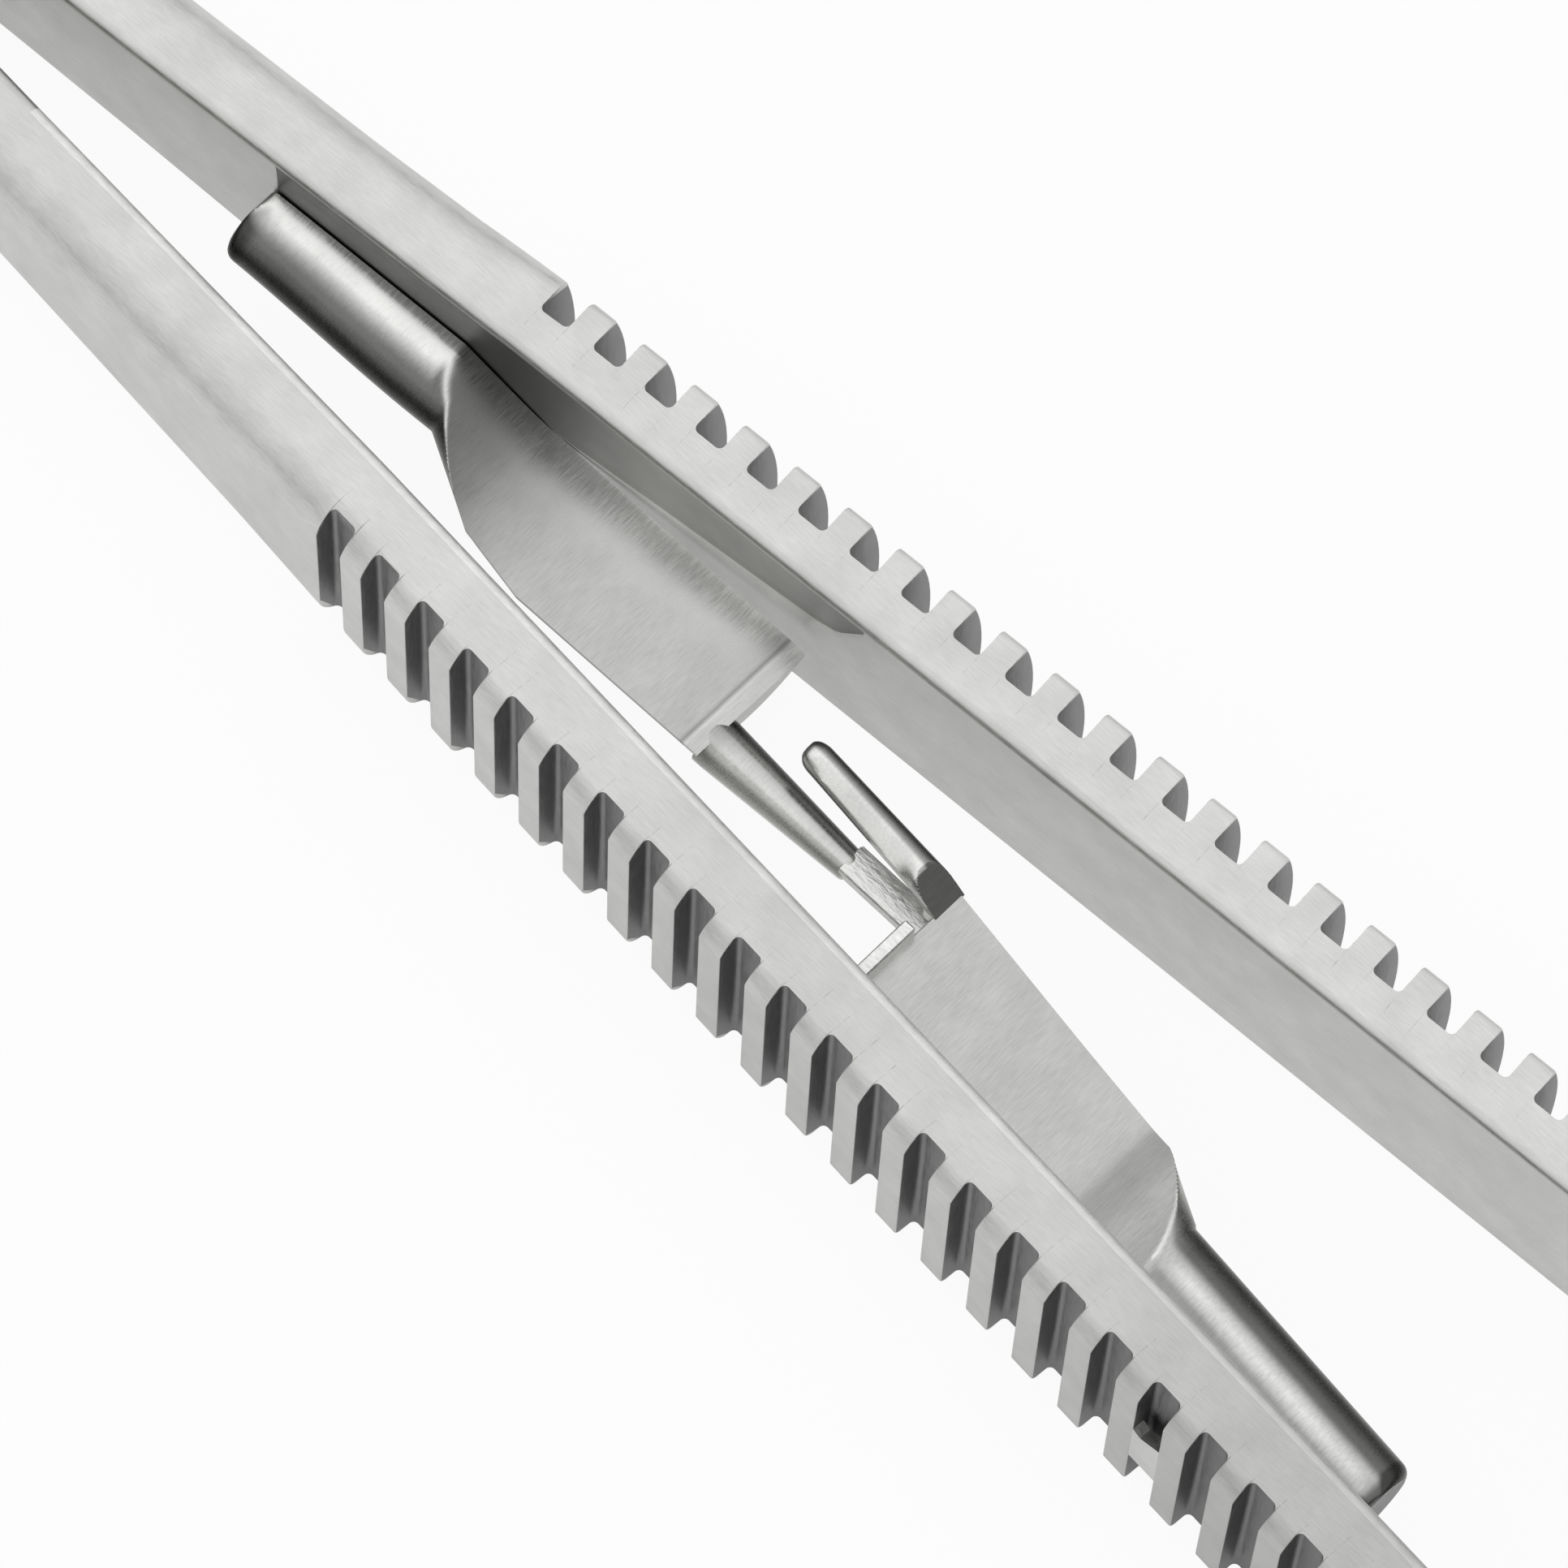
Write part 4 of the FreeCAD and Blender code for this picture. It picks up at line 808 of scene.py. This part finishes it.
# %% [markdown]
# ## Tail leaf
# The far handle runs out into a thin spring that is riveted to the near one at the tail. It bends when the
# handles open; here it is a fine strip swept along its path. The strip is a hair thinner than its solid, so
# that the flush rivet ends show.

# %% Spring leaf path
LEAF_BEND, LEAF_ANGLE, LEAF_LEAD = 20.0, math.radians(16.5), 4.6
LEAF_STEPS, BEND_STEPS, CLAMPED = 90, 14, 9.0


def bent_path(corners, radius, samples):
    """A polyline whose corners are arcs of one radius: tangent length = radius tan(half the turn)."""
    corners = [np.array(c, float) for c in corners]
    rows = [corners[0][None]]
    for before, here, after in zip(corners, corners[1:], corners[2:]):
        come = (here - before) / np.linalg.norm(here - before)
        go = (after - here) / np.linalg.norm(after - here)
        turn = math.atan2(come[0] * go[1] - come[1] * go[0], come @ go)
        reach = radius * math.tan(abs(turn) / 2)
        side = np.array([-come[1], come[0]]) * np.sign(turn)
        centre = here - come * reach + side * radius
        spin = turn * np.linspace(0, 1, samples)[:, None]
        quarter = np.array([-side[1], side[0]]) * -radius
        rows.append(centre - side * radius * np.cos(spin) + quarter * np.sin(spin))
    return np.concatenate(rows + [corners[-1][None]])


start = along_handle(np.array(THINNED + LEAF_GAP / 2), np.array(OUTER - LEAF_THICK / 2), np.array(0.0),
                     FAR)[:2]
ahead = np.array([math.cos(HALF_ANGLE), math.sin(HALF_ANGLE)])
turn_in = start + (LEAF_LEAD - LEAF_GAP / 2) * ahead
rest_y = LEAF_THICK / 2 + LEAF_GAP / 2
turn_out = np.array([turn_in[0] + (turn_in[1] - rest_y) / math.tan(LEAF_ANGLE), rest_y])
path = bent_path([start, turn_in, turn_out, np.array([TAIL_END, rest_y])], LEAF_BEND, BEND_STEPS)
run = np.concatenate([[0], np.cumsum(np.linalg.norm(np.diff(path, axis=0), axis=1))])
even = np.union1d(run, np.linspace(0, run[-1], LEAF_STEPS))
path = np.stack([np.interp(even, run, path[:, 0]), np.interp(even, run, path[:, 1])], axis=1)
print("leaf path", round(float(run[-1]), 2), "mm in", len(path), "points")

# %% Spring leaf
RIVET_PROUD = 0.015
step = np.gradient(path, axis=0)
normal = np.stack([-step[:, 1], step[:, 0]], axis=1) / np.linalg.norm(step, axis=1)[:, None]
corner = EDGE_ROUND * arc((0, 0), 1.0, 90, 0, 4)
quarter = np.array([LEAF_THICK / 2 - RIVET_PROUD - EDGE_ROUND, LEAF_HEIGHT / 2 - EDGE_ROUND]) + corner
loop = np.concatenate([quarter, quarter[::-1] * [1, -1], quarter * [-1, -1], quarter[::-1] * [-1, 1]])
points = np.concatenate([path[:, None] + normal[:, None] * loop[None, :, :1],
                         np.broadcast_to(loop[None, :, 1:], (len(path), len(loop), 1))], axis=2)
leaf = new_piece("far_tail_spring", points, tube_faces(len(path), len(loop), flip=False), (leaf_steel,))
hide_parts("far_tail_leaf")
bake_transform(leaf)
print("leaf box", np.ptp(points.reshape(-1, 3), axis=0).round(2), "mm")

# %% [markdown]
# ## Table and backdrop
# The picture has a plain white ground. More light would burn out the steel, so the matt white floor keeps
# its colour: the camera and reflections see it nearly white with the object's soft shadow kept, and it
# bounces plain light on to the steel.

# %% Table
FLOOR, SEEN_WHITE, MIRRORED_WHITE = 0.6, 0.93, 0.45
floor_material, tree = new_material("matt_white_table")
ray = add(tree, "ShaderNodeLightPath")
seen = add(tree, "ShaderNodeMath", {"operation": "MAXIMUM"}, _0=ray.outputs["Is Camera Ray"],
           _1=ray.outputs["Is Transmission Ray"])
matt = add(tree, "ShaderNodeBsdfDiffuse", Color=linear("#F2F2F2"))
glow = add(tree, "ShaderNodeEmission", Color=(1, 1, 1, 1), Strength=1.0)
shine = add(tree, "ShaderNodeMath", {"operation": "MULTIPLY"}, _0=ray.outputs["Is Glossy Ray"],
            _1=MIRRORED_WHITE)
whole = add(tree, "ShaderNodeMath", {"operation": "MULTIPLY"}, _0=seen.outputs[0], _1=SEEN_WHITE)
share = add(tree, "ShaderNodeMath", {"operation": "MAXIMUM"}, _0=whole.outputs[0], _1=shine.outputs[0])
mix = add(tree, "ShaderNodeMixShader", _0=share.outputs[0], _1=matt.outputs[0], _2=glow.outputs[0])
add(tree, "ShaderNodeOutputMaterial", Surface=mix.outputs[0])
mesh = bpy.data.meshes.new("table")
corners = [(-FLOOR, -FLOOR, 0), (FLOOR, -FLOOR, 0), (FLOOR, FLOOR, 0), (-FLOOR, FLOOR, 0)]
mesh.from_pydata(corners, [], [(0, 1, 2, 3)])
mesh.materials.append(floor_material)
table = bpy.data.objects.new("table", mesh)
bpy.context.scene.collection.objects.link(table)
print("table", 2 * FLOOR, "m wide")

# %% [markdown]
# ## Light
# Steel shows its surroundings more than its own colour. Lamps alone would leave it black between
# highlights, so the room is a grey that grows lighter overhead and to both sides, and one soft box adds a
# little from above. The room's greys were matched to the photograph by levels at single spots.

# %% Room and lamp
ROOM_STEPS = ((0.0, 0.10), (0.32, 0.16), (0.62, 0.60), (0.85, 0.84), (1.0, 0.9))
SIDE_SHARE = 0.55
world = bpy.data.worlds.new("studio")
bpy.context.scene.world = world
world.use_nodes = True
tree = world.node_tree
tree.nodes.clear()
ray = add(tree, "ShaderNodeLightPath")
way = add(tree, "ShaderNodeTexCoord")
parts = add(tree, "ShaderNodeSeparateXYZ", Vector=way.outputs["Generated"])
aside = add(tree, "ShaderNodeMath", {"operation": "ABSOLUTE"}, _0=parts.outputs["Y"])
tilt = add(tree, "ShaderNodeMath", {"operation": "MULTIPLY_ADD"}, _0=aside.outputs[0], _1=SIDE_SHARE,
           _2=parts.outputs["Z"])
ramp = add(tree, "ShaderNodeValToRGB", Fac=tilt.outputs[0])
while len(ramp.color_ramp.elements) < len(ROOM_STEPS):
    ramp.color_ramp.elements.new(0.5)
for stop, (height, grey) in zip(ramp.color_ramp.elements, ROOM_STEPS):
    stop.position, stop.color = height, (grey, grey, grey, 1)
room = add(tree, "ShaderNodeBackground", Color=ramp.outputs[0], Strength=1.0)
white = add(tree, "ShaderNodeBackground", Color=(1, 1, 1, 1), Strength=1.0)
mix = add(tree, "ShaderNodeMixShader", _0=ray.outputs["Is Camera Ray"], _1=room.outputs[0],
          _2=white.outputs[0])
add(tree, "ShaderNodeOutputWorld", Surface=mix.outputs[0])

LAMP_PLACE, LAMP_SIZE, LAMP_POWER = Vector((-0.25, 0.05, 0.60)), 0.5, 0.12
lamp_data = bpy.data.lights.new("overhead", "AREA")
lamp_data.size = LAMP_SIZE
lamp_data.energy = LAMP_POWER
lamp = bpy.data.objects.new("overhead", lamp_data)
bpy.context.scene.collection.objects.link(lamp)
facing = (-LAMP_PLACE).to_track_quat("-Z", "Y").to_matrix().to_4x4()
lamp.matrix_world = Matrix.Translation(LAMP_PLACE) @ facing
print("stage ready")
